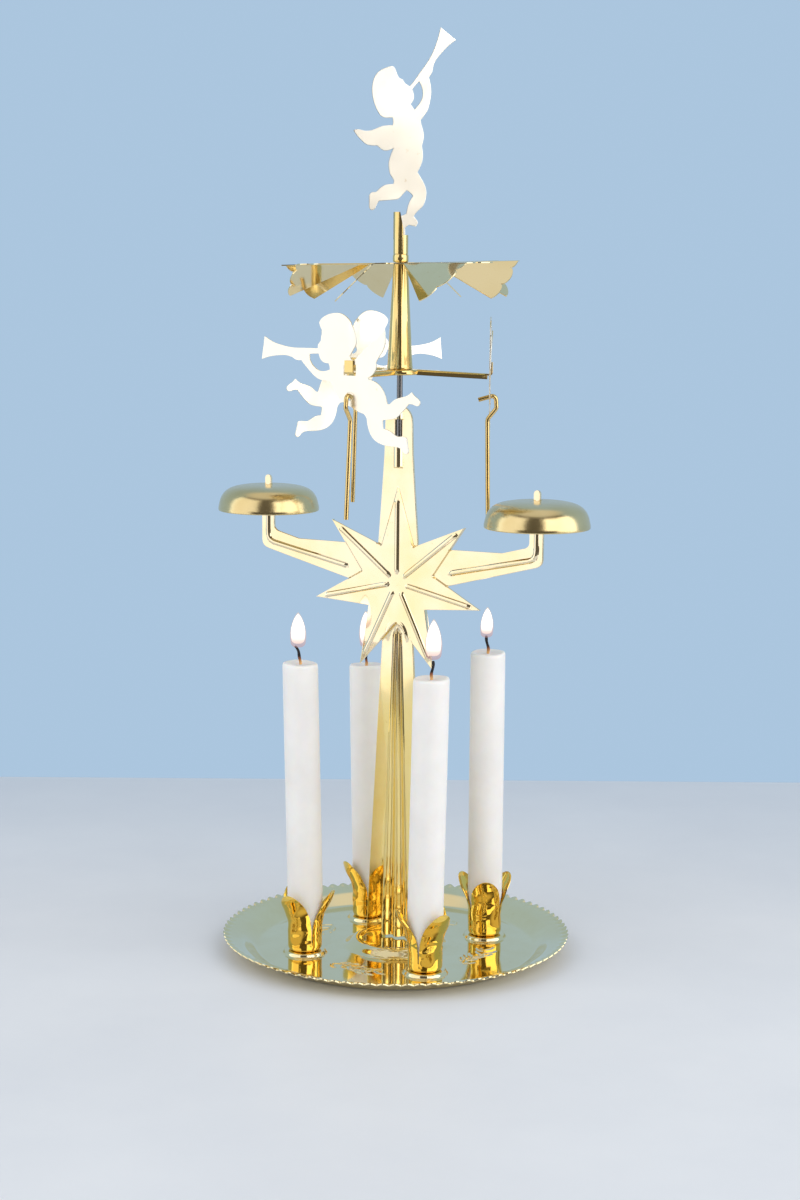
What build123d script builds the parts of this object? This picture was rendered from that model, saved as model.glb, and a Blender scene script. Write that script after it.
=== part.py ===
from build123d import *
import math
import os

# ---------------------------------------------------------------- driving dimensions (mm)
# heights are counted from a level this far under the table; every part is lowered by it at the end
LIFT = 3.3

# base plate: a pressed dish that stands on its flat floor
PLATE_R = 60.3            # outer radius of the rim
PLATE_T = 0.6             # sheet thickness
RIM_Z = LIFT + 5.8        # rim
FLOOR_R = 48.5            # radius of the flat floor
PLATEAU_Z = LIFT + 2.7    # top of the raised centre that carries the mast
BOSS_R = 7.4              # raised seat under each candle holder
BOSS_Z = LIFT + 1.8
HOLDER_PCR = 33.0         # candle holders stand on this radius
HOLDER_AZ = (45.0, 135.0, 225.0, 315.0)
HOLDER_TURN = (-62.5, -2.5, 25.0, -26.0)   # direction that one petal of each holder faces

# candle holder: a tulip cup with three petals
CUP_R_IN = 5.4
CUP_T = 0.45
CUP_H = 21.0
CUP_FLARE = 4.6
RIVET_R = 1.2

# candles
CANDLE_R = 6.1
CANDLE_FOOT_R = 5.3
CANDLE_BOTTOM = BOSS_Z + 1.7
CANDLE_TOP = (106.5, 97.9, 105.8, 104.9)
WICK_R = 0.55
WICK_OUT = 5.8
WICK_IN = 4.0

# mast, star and bell arms: one stamping in the XZ plane
MAST_T = 1.0
MAST_BOTTOM = 6.6
MAST_HALF_BOTTOM = 11.7
MAST_TOP = 192.8
STAR_Z = 132.3
STAR_R = 32.5
STAR_NOTCH_R = 13.9
STAR_POINTS = 7
ARM_X = 51.55             # bell axis
UPRIGHT_HALF = 2.5
SHOULDER_Z = 162.3        # the bell sits on these shoulders
TONGUE_HALF = 1.21
TONGUE_TOP = 166.7

# needle
NEEDLE_R = 1.0
NEEDLE_BOTTOM = 172.1
NEEDLE_TIP = 234.1

# bells
BELL_R = 17.7
BELL_RIM_Z = 153.8
BELL_TOP_Z = 163.25
BELL_T = 0.7
BELL_HOLE_R = 1.5

# rotor
HUB_BOTTOM = 205.0
HUB_TOP = 240.1
HUB_R_BOTTOM = 4.25
HUB_R_TOP = 2.5
NECK_R = 1.9
NECK_TOP = 247.5
IMP_Z = 240.1
IMP_T = 0.5
IMP_R = 40.0
IMP_DISC_R = 12.6         # uncut centre of the wheel
IMP_BLADES = 8
IMP_AZ0 = 27.5            # direction of the first fold line
IMP_LEAD = 3.3            # each blade reaches from this many degrees before its fold direction
IMP_TRAIL = 41.2          # to this many after it
IMP_FOLD = 8.5            # the fold line passes the axis at this distance
IMP_TILT = 44.0
COLLAR_TOP = 243.4
SLEEVE_R = 2.5
SLEEVE_TOP = 257.2
CARRIER_Z0 = 203.1
CARRIER_Z1 = 205.0
CARRIER_W = 3.6
ANGEL_AZ = (25.2, 148.5, 265.2)
ARM_DROOP = (1.3, 0.0, 0.0)   # how far the end of each arm hangs below its root
ANGEL_PITCH = (0.0, 3.0, 0.0)   # trumpet end down, degrees
ANGEL_R_IN = 30.2
ANGEL_T = 0.5
TOP_ANGEL_AZ = 38.0
TOP_WIDER = 1.017

# strikers
WIRE_R = 0.75
PIVOT_R = ANGEL_R_IN + ANGEL_T / 2
PIVOT_Z = 197.2
STRIKER_HOLE_R = 1.4
STRIKER_END = 156.8
STRIKER_LEAN = (1.0, 3.0, 4.0)   # outward lean of each hook at rest, degrees

os.makedirs("parts", exist_ok=True)
PARTS = {}


def keep(name, shape):
    """Registers one sub-part under its node name."""
    PARTS[name] = Pos(0, 0, -LIFT) * shape


def at(r, az, z=0.0):
    a = math.radians(az)
    return (r * math.cos(a), r * math.sin(a), z)


def turned(shape, az):
    return Rot(0, 0, az) * shape


def ring_of(profile):
    """Solid of revolution about Z from a closed (r, z) polygon."""
    pts = [(r, 0, z) for r, z in profile]
    return revolve(make_face(Polyline(*pts, close=True)), Axis.Z)


def spline_plate(segments, plane, thickness):
    """Flat plate on the plane, its outline as in spline_face, that grows along the plane's normal."""
    return extrude(spline_face(segments, plane), amount=thickness, dir=plane.z_dir)


def spline_face(segments, plane):
    """Closed face from consecutive curve segments; each segment is a list of 2-D points, and a two-point one is straight."""
    edges = []
    for seg in segments:
        pts = [plane.from_local_coords((x, y, 0)) for x, y in seg]
        edges.append(Line(*pts) if len(pts) == 2 else Spline(*pts))
    return make_face(edges)


# ---------------------------------------------------------------- base plate
top = [(0, 2.7), (11.8, 2.7), (12.6, 3.3), (14.6, 3.3), (15.6, 2.8), (17.2, 1.2), (18.2, PLATE_T), (FLOOR_R, PLATE_T),
       (49.6, 1.1), (53.4, 3.75), (54.6, 4.3), (PLATE_R, 5.8)]
low = [(PLATE_R, 5.2), (54.8, 3.7), (53.7, 3.1), (50.0, 0.45), (FLOOR_R + 0.5, 0), (17.8, 0), (16.7, 0.75), (15.2, 2.3),
       (14.4, 2.7), (13.0, 2.7), (12.2, 2.1), (0, 2.1)]
top = [(r, LIFT + z) for r, z in top]
low = [(r, LIFT + z) for r, z in low]
plate = ring_of(top + low)
for az in HOLDER_AZ:
    x, y, _ = at(HOLDER_PCR, az)
    plate = plate + Pos(x, y, (BOSS_Z + LIFT) / 2) * Cylinder(BOSS_R, BOSS_Z - LIFT)
    plate = plate - Pos(x, y, (BOSS_Z - PLATE_T + LIFT - 1.0) / 2) * Cylinder(BOSS_R - 0.6, BOSS_Z - PLATE_T - LIFT + 1.0)
    plate = plate - Pos(x, y, BOSS_Z) * Cylinder(RIVET_R + 0.03, 6)
for sx in (-1, 1):
    plate = plate - Pos(sx * 7.0, 0, PLATEAU_Z) * Box(4.0, MAST_T + 0.3, 4.0)
keep("base_plate", plate)

# ---------------------------------------------------------------- candle holders and their rivets
r_out = CUP_R_IN + CUP_T
cup_profile = [(RIVET_R + 0.03, 0), (r_out - 0.9, 0), (r_out, 1.0), (r_out, 8.0), (r_out + 0.3, 10.5), (r_out + 0.9, 13.0),
               (r_out + 2.0, 16.2), (r_out + 3.4, 19.0), (r_out + CUP_FLARE, CUP_H), (r_out + CUP_FLARE - 0.38, CUP_H + 0.2),
               (r_out + 3.0, 19.25), (r_out + 1.57, 16.45), (r_out + 0.45, 13.15), (CUP_R_IN + 0.3, 10.6), (CUP_R_IN, 8.1),
               (CUP_R_IN, 1.2), (CUP_R_IN - 0.7, 0.5), (RIVET_R + 0.03, 0.5)]
cup = ring_of(cup_profile)
# three notches with curved sides leave petals with round tips
notch_side = [(0, 1.9), (0.3, 5.0), (0.6, 8.0), (1.0, 10.5), (1.75, 13.0), (2.9, 16.0), (4.0, 17.5), (5.25, 18.8), (6.55, 19.8),
              (7.7, 20.5), (8.6, 20.9), (9.6, 21.15)]
notch_2d = [notch_side, [(9.6, 21.15), (9.6, 24.0)], [(9.6, 24.0), (-9.6, 24.0)], [(-9.6, 24.0), (-9.6, 21.15)],
            [(-x, z) for x, z in reversed(notch_side)]]
notch_plane = Plane(origin=(2.0, 0, 0), x_dir=(0, 1, 0), z_dir=(1, 0, 0))
notch = spline_plate(notch_2d, notch_plane, 12)
holder = cup
for k in range(3):
    holder = holder - turned(notch, 60 + 120 * k)
rivet = ring_of([(0, -1.3), (2.0, -1.3), (2.2, -1.0), (2.2, -0.6), (RIVET_R, -0.6), (RIVET_R, 0.5), (2.3, 0.5),
                 (2.1, 1.0), (1.2, 1.4), (0, 1.4)])
rivets = []
for i, (az, turn) in enumerate(zip(HOLDER_AZ, HOLDER_TURN)):
    place = Pos(*at(HOLDER_PCR, az, BOSS_Z))
    keep(f"candle_holder_{i + 1}", place * Rot(0, 0, turn) * holder)
    rivets.append(place * rivet)
keep("holder_rivets", Compound(children=[r.solid() for r in rivets]))

# ---------------------------------------------------------------- candles and wicks
for i, (az, z_top) in enumerate(zip(HOLDER_AZ, CANDLE_TOP)):
    place = Pos(*at(HOLDER_PCR, az))
    wax = ring_of([(0, CANDLE_BOTTOM), (CANDLE_FOOT_R - 0.5, CANDLE_BOTTOM), (CANDLE_FOOT_R, CANDLE_BOTTOM + 0.5),
                   (CANDLE_FOOT_R, BOSS_Z + 7.8), (CANDLE_R, BOSS_Z + 15.6), (CANDLE_R, z_top - 0.9), (CANDLE_R - 0.3, z_top - 0.25), (CANDLE_R - 1.0, z_top),
                   (2.2, z_top - 0.5), (WICK_R + 0.03, z_top - 0.8), (WICK_R + 0.03, z_top - WICK_IN),
                   (0, z_top - WICK_IN)])
    wick = ring_of([(0, z_top - WICK_IN), (WICK_R, z_top - WICK_IN), (WICK_R, z_top + WICK_OUT - 0.4),
                    (WICK_R - 0.25, z_top + WICK_OUT), (0, z_top + WICK_OUT)])
    keep(f"candle_{i + 1}", place * wax)
    keep(f"wick_{i + 1}", place * wick)

# ---------------------------------------------------------------- mast with star and bell arms
sheet = Plane(origin=(0, MAST_T / 2, 0), x_dir=(1, 0, 0), z_dir=(0, -1, 0))


def plate_from(segments):
    return spline_plate(segments, sheet, MAST_T)


side = [(MAST_HALF_BOTTOM, MAST_BOTTOM), (5.95, 111.0), (5.9, 125.0), (7.9, 141.0), (7.65, 145.0), (6.2, 165.5),
        (5.5, 176.0), (5.2, 187.2)]
mast_segs = [[(-MAST_HALF_BOTTOM, MAST_BOTTOM), (MAST_HALF_BOTTOM, MAST_BOTTOM)]]
mast_segs += [[side[i], side[i + 1]] for i in range(len(side) - 1)]
mast_segs += [[(5.2, 187.2), (4.6, 189.9), (2.9, 192.0), (0, MAST_TOP), (-2.9, 192.0), (-4.6, 189.9), (-5.2, 187.2)]]
left = [(-x, z) for x, z in reversed(side)]
mast_segs += [[left[i], left[i + 1]] for i in range(len(left) - 1)]
mast = plate_from(mast_segs)

star_pts = []
for k in range(2 * STAR_POINTS):
    r = STAR_R if k % 2 == 0 else STAR_NOTCH_R
    a = math.radians(90 + k * 180 / STAR_POINTS)
    star_pts.append((r * math.cos(a), STAR_Z + r * math.sin(a)))
mast = mast + plate_from([[star_pts[i], star_pts[(i + 1) % len(star_pts)]] for i in range(len(star_pts))])

x0, x1 = ARM_X - UPRIGHT_HALF, ARM_X + UPRIGHT_HALF
t0, t1 = ARM_X - TONGUE_HALF, ARM_X + TONGUE_HALF
arm = [[(8.0, 129.4), (51.6, 140.75)], [(51.6, 140.75), (53.4, 141.6), (x1, 143.4)], [(x1, 143.4), (x1, SHOULDER_Z)],
       [(x1, SHOULDER_Z), (t1, SHOULDER_Z)], [(t1, SHOULDER_Z), (t1, TONGUE_TOP - 1.2)],
       [(t1, TONGUE_TOP - 1.2), (ARM_X, TONGUE_TOP), (t0, TONGUE_TOP - 1.2)], [(t0, TONGUE_TOP - 1.2), (t0, SHOULDER_Z)],
       [(t0, SHOULDER_Z), (x0, SHOULDER_Z)], [(x0, SHOULDER_Z), (x0, 148.8)], [(x0, 148.8), (48.7, 147.7), (47.6, 147.1)],
       [(47.6, 147.1), (39.1, 144.9)], [(39.1, 144.9), (8.0, 144.7)], [(8.0, 144.7), (8.0, 129.4)]]
arm_solid = plate_from(arm)
mast = mast + arm_solid + mirror(arm_solid, about=Plane.YZ)

# formed rib on the front of the lower mast
rib_plane = Plane(origin=(0, -MAST_T / 2, 0), x_dir=(1, 0, 0), z_dir=(0, -1, 0))
rib = extrude(make_face(Polyline(*[rib_plane.from_local_coords((x, z, 0)) for x, z in
              [(-4.65, MAST_BOTTOM), (4.65, MAST_BOTTOM), (1.5, 115.0), (0, 118.0), (-1.5, 115.0)]], close=True)), amount=0.8, dir=(0, -1, 0))
mast = mast + rib

# needle pocket: the slot is bridged by straps pressed to the front and the back
bore = NEEDLE_R + 0.05
mast = mast - Pos(0, 0, (NEEDLE_BOTTOM + 200) / 2) * Box(2 * bore, 4, 200 - NEEDLE_BOTTOM)


def strap(z0, z1, front):
    tube = Pos(0, 0, (z0 + z1) / 2) * (Cylinder(2.05, z1 - z0) - Cylinder(bore, z1 - z0))
    half = Pos(0, (-2.5 if front else 2.5), (z0 + z1) / 2) * Box(10, 5, z1 - z0)
    return tube & half


mast = mast + strap(188.2, 191.9, True) + strap(182.9, 187.8, False) + strap(NEEDLE_BOTTOM - 0.8, 182.0, True)
floor_half = Pos(0, 0, NEEDLE_BOTTOM - 0.4) * Cylinder(2.05, 0.8)
mast = mast + (floor_half & (Pos(0, -2.0, NEEDLE_BOTTOM - 0.4) * Box(10, 5, 0.8)))

# two feet go through the plate and are bent flat under it
for sx in (-1, 1):
    mast = mast + Pos(sx * 7.0, 0, MAST_BOTTOM - 1.05) * Box(3.6, MAST_T, 2.3)
    mast = mast + Pos(sx * 7.0, sx * 2.0, MAST_BOTTOM - 1.7) * Box(3.6, 3.2, 1.0)
keep("mast", mast)

# ---------------------------------------------------------------- needle
keep("needle", ring_of([(0, NEEDLE_BOTTOM), (NEEDLE_R, NEEDLE_BOTTOM), (NEEDLE_R, NEEDLE_TIP - 3.6),
                        (0.14, NEEDLE_TIP - 0.05), (0, NEEDLE_TIP)]))

# ---------------------------------------------------------------- bells
bell_plane = Plane(origin=(0, 0, 0), x_dir=(1, 0, 0), z_dir=(0, -1, 0))
ht = BELL_TOP_Z
bell_segs = [
    [(BELL_HOLE_R, ht), (7.0, ht - 0.2), (11.0, ht - 0.75), (14.6, ht - 2.25), (16.7, ht - 5.2), (BELL_R, BELL_RIM_Z)],
    [(BELL_R, BELL_RIM_Z), (BELL_R - BELL_T, BELL_RIM_Z)],
    [(BELL_R - BELL_T, BELL_RIM_Z), (16.0, ht - 5.35), (14.0, ht - 2.75), (10.7, ht - 1.4), (6.9, ht - 0.9), (BELL_HOLE_R, ht - BELL_T)],
    [(BELL_HOLE_R, ht - BELL_T), (BELL_HOLE_R, ht)],
]
bell = revolve(spline_face(bell_segs, bell_plane), Axis.Z)
keep("bell_right", Pos(ARM_X, 0, 0) * bell)
keep("bell_left", Pos(-ARM_X, 0, 0) * bell)

# ---------------------------------------------------------------- rotor: hub, bearing, impeller, collar, sleeve
keep("hub_cone", ring_of([(3.8, HUB_BOTTOM), (HUB_R_BOTTOM, HUB_BOTTOM), (HUB_R_TOP, HUB_TOP), (NECK_R, HUB_TOP),
                          (NECK_R, NECK_TOP), (0, NECK_TOP), (0, 236.0), (1.6, 236.0), (1.6, 229.5), (2.35, 229.5)]))
keep("pivot_cup", ring_of([(1.58, 231.4), (1.58, 235.98), (0, 235.98), (0, NEEDLE_TIP + 0.08), (0.2, NEEDLE_TIP + 0.05),
                           (1.36, 231.4)]))

mid = IMP_Z + IMP_T / 2


def sector(a0, a1, r0, r1):
    """Flat annular sector between two directions, centred on z = 0."""
    p0, p1, p2, p3 = at(r0, a0), at(r1, a0), at(r1, a1), at(r0, a1)
    am = (a0 + a1) / 2
    face = make_face([Line(p0, p1), ThreePointArc(p1, at(r1, am), p2), Line(p2, p3), ThreePointArc(p3, at(r0, am), p0)])
    return Pos(0, 0, -IMP_T / 2) * extrude(face, amount=IMP_T, dir=(0, 0, 1))


blank = sector(-IMP_TRAIL, IMP_LEAD, IMP_DISC_R - 1.0, IMP_R)
beyond = Pos(25, -IMP_FOLD - 20, 0) * Box(60, 40, 4)
flap = Pos(0, IMP_FOLD, 0) * (blank & beyond)
fold_x0 = IMP_FOLD / math.tan(math.radians(IMP_TRAIL)) + 0.1
fold_x1 = math.sqrt(IMP_R ** 2 - IMP_FOLD ** 2) - 0.1
fold = Pos((fold_x0 + fold_x1) / 2, -IMP_FOLD, 0) * (Rot(0, 90, 0) * Cylinder(IMP_T / 2, fold_x1 - fold_x0))
blade = (blank - beyond) + Pos(0, -IMP_FOLD, 0) * (Rot(IMP_TILT, 0, 0) * flap) + fold
impeller = Cylinder(IMP_DISC_R, IMP_T)
for k in range(IMP_BLADES):
    impeller = impeller + turned(blade, IMP_AZ0 + 360 / IMP_BLADES * k)
impeller = impeller - Cylinder(NECK_R + 0.02, 4)
keep("impeller", Pos(0, 0, mid) * impeller)

keep("hub_collar", ring_of([(NECK_R + 0.02, IMP_Z + IMP_T), (2.5, IMP_Z + IMP_T), (2.6, 241.4), (2.6, 242.6), (2.5, COLLAR_TOP),
                            (NECK_R + 0.02, COLLAR_TOP)]))

sleeve = ring_of([(NECK_R + 0.02, COLLAR_TOP), (SLEEVE_R, COLLAR_TOP), (SLEEVE_R, SLEEVE_TOP), (NECK_R + 0.02, SLEEVE_TOP)])
sleeve = sleeve - Pos(0, 0, 254.5) * Box(8, 0.54, 12.6)                       # slit that grips the figure's foot tab
cutter = extrude(make_face(Polyline((0.4, -6, 249.6), (6, -6, 249.6), (6, -6, 262), (-1.6, -6, 262), (0.4, -6, 251.5), close=True)), amount=12, dir=(0, 1, 0))
sleeve = sleeve - cutter
keep("top_sleeve", turned(sleeve, TOP_ANGEL_AZ))

# ---------------------------------------------------------------- angel carrier: a ring with three channel arms
carrier = ring_of([(3.0, CARRIER_Z0), (6.2, CARRIER_Z0), (6.2, CARRIER_Z1), (3.0, CARRIER_Z1)])
arm_len = 29.4 - 5.0
channel = Pos(5.0 + arm_len / 2, 0, (CARRIER_Z0 + CARRIER_Z1) / 2) * Box(arm_len, CARRIER_W, CARRIER_Z1 - CARRIER_Z0)
channel = channel - Pos(6.6 + 12, 0, CARRIER_Z0 + 0.6) * Box(24, CARRIER_W - 1.2, 1.3)
tab = Pos(30.2, 0, 204.7) * Box(2.3, 3.4, 0.6) + Pos(31.05, 0, 206.7) * Box(0.6, 3.4, 4.6)
for az, droop in zip(ANGEL_AZ, ARM_DROOP):
    bend = Rot(0, math.degrees(math.asin(droop / 25.4)), 0)
    carrier = carrier + turned(Pos(5.0, 0, 204.0) * (bend * (Pos(-5.0, 0, -204.0) * channel)) + Pos(0, 0, -droop) * tab, az)
carrier = carrier - Pos(0, 0, 204) * Cylinder(3.0, 6)
keep("angel_carrier", carrier)

# ---------------------------------------------------------------- flying figures: flat stampings, trumpet forward
# (forward, height) points of the outline
FLY = [
    [(34.1, 216.0), (30.6, 214.2), (26.9, 213.2), (23.3, 212.6), (18.2, 212.5), (12.6, 212.5)],
    [(12.6, 212.5), (12.4, 213.9), (11.5, 214.9), (11.3, 216.4), (10.9, 218.0), (11.6, 219.5), (12.1, 221.0)],
    [(12.1, 221.0), (11.4, 222.0), (9.4, 223.3), (6.4, 224.1), (3.9, 224.1), (1.7, 223.2), (-0.3, 221.4), (-1.7, 218.9),
     (-2.5, 216.4), (-2.6, 214.4), (-1.8, 212.9), (-0.8, 211.5), (0.0, 210.3)],
    [(0.0, 210.3), (-0.5, 209.4), (-1.5, 208.8)],
    [(-1.5, 208.8), (-3.3, 210.3), (-5.0, 211.8), (-7.5, 213.9), (-10.2, 215.8), (-12.4, 217.9), (-13.5, 219.0)],
    [(-13.5, 219.0), (-14.0, 217.1), (-13.9, 214.6), (-13.1, 212.5), (-11.4, 210.1), (-10.3, 208.4)],
    [(-10.3, 208.4), (-10.4, 207.2), (-9.7, 205.5), (-8.4, 204.2), (-7.0, 203.4)],
    [(-7.0, 203.4), (-7.2, 202.9)],
    [(-7.2, 202.9), (-8.9, 202.6), (-11.4, 201.4), (-13.1, 199.6), (-14.0, 197.6), (-14.7, 195.3)],
    [(-14.7, 195.3), (-15.6, 195.3)],
    [(-15.6, 195.3), (-17.3, 196.7), (-19.8, 197.6), (-22.2, 198.3), (-23.9, 199.5)],
    [(-23.9, 199.5), (-25.1, 198.2), (-27.0, 196.6), (-27.1, 195.8), (-26.3, 195.1), (-24.4, 195.5), (-22.9, 195.6)],
    [(-22.9, 195.6), (-21.5, 194.1), (-19.8, 192.4), (-17.9, 190.9), (-15.5, 190.3), (-13.3, 190.1)],
    [(-13.3, 190.1), (-12.9, 189.7)],
    [(-12.9, 189.7), (-13.1, 187.2)],
    [(-13.1, 187.2), (-14.5, 187.0), (-16.5, 186.1), (-18.5, 185.0), (-21.2, 185.0), (-22.1, 184.7)],
    [(-22.1, 184.7), (-22.3, 183.3), (-22.7, 181.2), (-22.8, 180.0), (-22.0, 179.4), (-21.2, 179.7), (-20.5, 180.7)],
    [(-20.5, 180.7), (-19.3, 181.3), (-16.6, 181.6), (-14.1, 181.8), (-11.6, 182.4), (-9.1, 184.0), (-7.6, 186.4),
     (-6.9, 188.9), (-6.5, 190.7), (-5.6, 191.7)],
    [(-5.6, 191.7), (-3.6, 192.3), (-1.3, 193.4), (2.0, 194.8), (4.0, 196.4), (6.0, 199.2), (7.1, 201.3)],
    [(7.1, 201.3), (9.1, 201.9), (11.6, 202.3), (14.1, 203.6), (16.4, 205.6), (18.2, 207.3), (19.2, 208.4)],
    [(19.2, 208.4), (21.3, 208.5), (22.8, 209.3)],
    [(22.8, 209.3), (24.9, 209.8), (28.0, 209.8), (31.7, 209.3), (35.2, 208.3)],
    [(35.2, 208.3), (34.1, 216.0)],
]
FLY_HOLE = [
    [(15.9, 210.6), (12.3, 210.8)],
    [(12.3, 210.8), (11.8, 209.5), (11.1, 208.5), (9.5, 207.8), (8.3, 207.7)],
    [(8.3, 207.7), (7.9, 206.7), (7.8, 205.7)],
    [(7.8, 205.7), (9.0, 205.3), (11.8, 205.2), (13.6, 206.1), (15.1, 207.6), (15.9, 209.0)],
    [(15.9, 209.0), (15.9, 210.6)],
]
fly_plane = Plane(origin=(ANGEL_R_IN + ANGEL_T, 0, 0), x_dir=(0, -1, 0), z_dir=(-1, 0, 0))
figure = spline_plate(FLY, fly_plane, ANGEL_T)
figure = figure - (Pos(0.5, 0, 0) * spline_plate(FLY_HOLE, fly_plane, ANGEL_T + 1))
figure = figure - Pos(ANGEL_R_IN, 0, 205.75) * Box(6, 4.6, 3.5)
figure = figure - Pos(ANGEL_R_IN, 0, PIVOT_Z) * (Rot(0, 90, 0) * Cylinder(STRIKER_HOLE_R, 6))
for i, (az, droop, pitch) in enumerate(zip(ANGEL_AZ, ARM_DROOP, ANGEL_PITCH)):
    pitched = Pos(0, 0, PIVOT_Z - droop) * (Rot(pitch, 0, 0) * (Pos(0, 0, -PIVOT_Z) * figure))
    keep(f"angel_{i + 1}", turned(pitched, az))

# ---------------------------------------------------------------- top figure: flat stamping with a foot tab
TOP = [
    [(12.6, 317.6), (17.8, 313.6)],
    [(17.8, 313.6), (15.7, 312.0), (13.3, 309.6), (11.1, 306.8), (10.4, 305.3), (9.9, 303.0), (8.9, 301.3)],
    [(8.9, 301.3), (9.3, 299.7), (9.7, 296.8), (9.3, 293.5), (8.5, 290.6), (7.3, 288.7), (6.2, 287.3)],
    [(6.2, 287.3), (6.5, 285.9), (7.2, 283.5), (7.3, 281.6), (6.7, 278.9)],
    [(6.7, 278.9), (7.1, 276.3), (6.9, 273.9), (6.1, 271.7), (5.4, 270.3)],
    [(5.4, 270.3), (6.6, 268.4), (7.8, 266.2), (8.4, 263.6), (8.0, 260.9), (7.1, 259.0), (5.3, 257.3), (4.3, 255.8)],
    [(4.3, 255.8), (4.9, 255.1), (5.7, 253.7), (5.1, 252.5)],
    [(5.1, 252.5), (2.6, 253.0)],
    [(2.6, 253.0), (1.4, 252.0)],
    [(1.4, 252.0), (1.4, 248.7)],
    [(1.4, 248.7), (-2.3, 248.7)],
    [(-2.3, 248.7), (-2.3, 255.0)],
    [(-2.3, 255.0), (1.7, 256.6)],
    [(1.7, 256.6), (2.2, 259.0), (2.9, 260.9), (3.9, 262.5)],
    [(3.9, 262.5), (2.9, 263.6), (1.8, 264.3)],
    [(1.8, 264.3), (0.4, 262.8), (-0.8, 261.6), (-2.5, 261.2), (-7.4, 260.7)],
    [(-7.4, 260.7), (-8.1, 259.5), (-9.1, 257.9), (-10.1, 257.8), (-10.7, 258.7)],
    [(-10.7, 258.7), (-10.7, 262.6)],
    [(-10.7, 262.6), (-10.1, 263.4), (-8.4, 263.7)],
    [(-8.4, 263.7), (-7.1, 265.0), (-5.4, 266.0), (-2.7, 266.4)],
    [(-2.7, 266.4), (-2.5, 267.2), (-3.5, 269.1), (-4.2, 271.5), (-4.3, 272.9), (-3.8, 275.3), (-3.2, 277.0), (-2.7, 278.0)],
    [(-2.7, 278.0), (-4.4, 277.3), (-5.9, 277.3), (-7.4, 278.2), (-8.1, 278.8)],
    [(-8.1, 278.8), (-9.8, 278.8), (-11.7, 279.2), (-13.5, 280.6), (-15.2, 282.5), (-16.0, 283.7)],
    [(-16.0, 283.7), (-15.2, 284.0), (-12.2, 283.6), (-9.8, 283.9), (-7.1, 285.0), (-3.0, 285.6)],
    [(-3.0, 285.6), (-2.9, 286.7), (-3.1, 288.0)],
    [(-3.1, 288.0), (-6.9, 288.5), (-8.1, 290.1), (-9.3, 293.0), (-9.9, 295.9), (-9.8, 298.7), (-8.8, 301.6), (-6.8, 303.5),
     (-4.9, 304.3), (-3.0, 304.6), (-2.2, 303.6)],
    [(-2.2, 303.6), (-1.6, 302.0), (-0.9, 300.9), (0.2, 300.4), (0.8, 299.4), (1.6, 298.8), (2.5, 298.3)],
    [(2.5, 298.3), (3.4, 299.3), (5.3, 302.0), (7.7, 305.3), (9.7, 308.7), (10.9, 311.5), (11.8, 314.3), (12.6, 317.6)],
]
TOP_HOLE = [
    [(5.7, 299.9), (4.1, 298.2), (3.4, 297.3)],
    [(3.4, 297.3), (3.9, 295.6), (3.8, 294.0), (2.9, 292.5)],
    [(2.9, 292.5), (4.1, 290.7)],
    [(4.1, 290.7), (5.3, 292.1), (6.5, 294.0), (6.9, 295.9), (6.5, 298.2), (5.7, 299.9)],
]
top_plane = Plane(origin=(0, ANGEL_T / 2, 0), x_dir=(1, 0, 0), z_dir=(0, -1, 0))


def wider(segments):
    """The outline above the foot tab, stretched sideways."""
    return [[(x * TOP_WIDER if z > 256.8 else x, z) for x, z in seg] for seg in segments]


top_figure = spline_plate(wider(TOP), top_plane, ANGEL_T)
top_figure = top_figure - (Pos(0, 0.5, 0) * spline_plate(wider(TOP_HOLE), top_plane, ANGEL_T + 1))
keep("top_angel", turned(top_figure, TOP_ANGEL_AZ))

# ---------------------------------------------------------------- strikers: bent wire hooks that hang in the figures' holes
path = FilletPolyline((26.6, 0, 196.2), (32.5, 0, 197.8), (32.7, 0, 193.3), (29.6, 0, 189.6), (29.6, 0, STRIKER_END),
                      radius=[1.3, 1.6, 2.4])
tip = Plane(origin=path @ 0, z_dir=path % 0)
wire = sweep(tip * Circle(WIRE_R), path=path)
print("striker wire volume / (section x length):", round(wire.volume / (math.pi * WIRE_R ** 2 * path.length), 4))
for i, (az, lean, droop) in enumerate(zip(ANGEL_AZ, STRIKER_LEAN, ARM_DROOP)):
    hung = Pos(PIVOT_R, 0, PIVOT_Z - droop) * (Rot(0, -lean, 0) * (Pos(-PIVOT_R, 0, -PIVOT_Z) * wire))
    keep(f"striker_{i + 1}", turned(hung, az))

for name, shape in PARTS.items():
    export_step(shape, f"parts/{name}.step")
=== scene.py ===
import math

import bmesh
import bpy
import numpy as np
from mathutils import Matrix, Vector
from mathutils.geometry import delaunay_2d_cdt


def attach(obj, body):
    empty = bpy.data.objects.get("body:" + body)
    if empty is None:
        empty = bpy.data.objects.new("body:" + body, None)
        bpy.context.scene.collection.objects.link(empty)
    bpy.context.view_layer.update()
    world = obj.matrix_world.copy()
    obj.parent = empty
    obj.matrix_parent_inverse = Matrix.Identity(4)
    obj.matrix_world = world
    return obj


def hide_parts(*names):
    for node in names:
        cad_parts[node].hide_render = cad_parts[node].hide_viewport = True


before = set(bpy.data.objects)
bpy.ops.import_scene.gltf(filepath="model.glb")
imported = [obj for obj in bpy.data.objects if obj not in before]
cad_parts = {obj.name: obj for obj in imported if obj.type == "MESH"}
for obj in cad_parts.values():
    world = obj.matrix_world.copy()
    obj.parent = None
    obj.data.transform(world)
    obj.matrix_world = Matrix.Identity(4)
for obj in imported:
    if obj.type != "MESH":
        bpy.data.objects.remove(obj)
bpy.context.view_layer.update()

MM = 0.001
LIFT = 3.3                          # the outlines below count their heights from this far under the table
scene = bpy.context.scene
VIEW_AZ = 27.5                      # the photograph is taken from this side of the star's front


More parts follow.
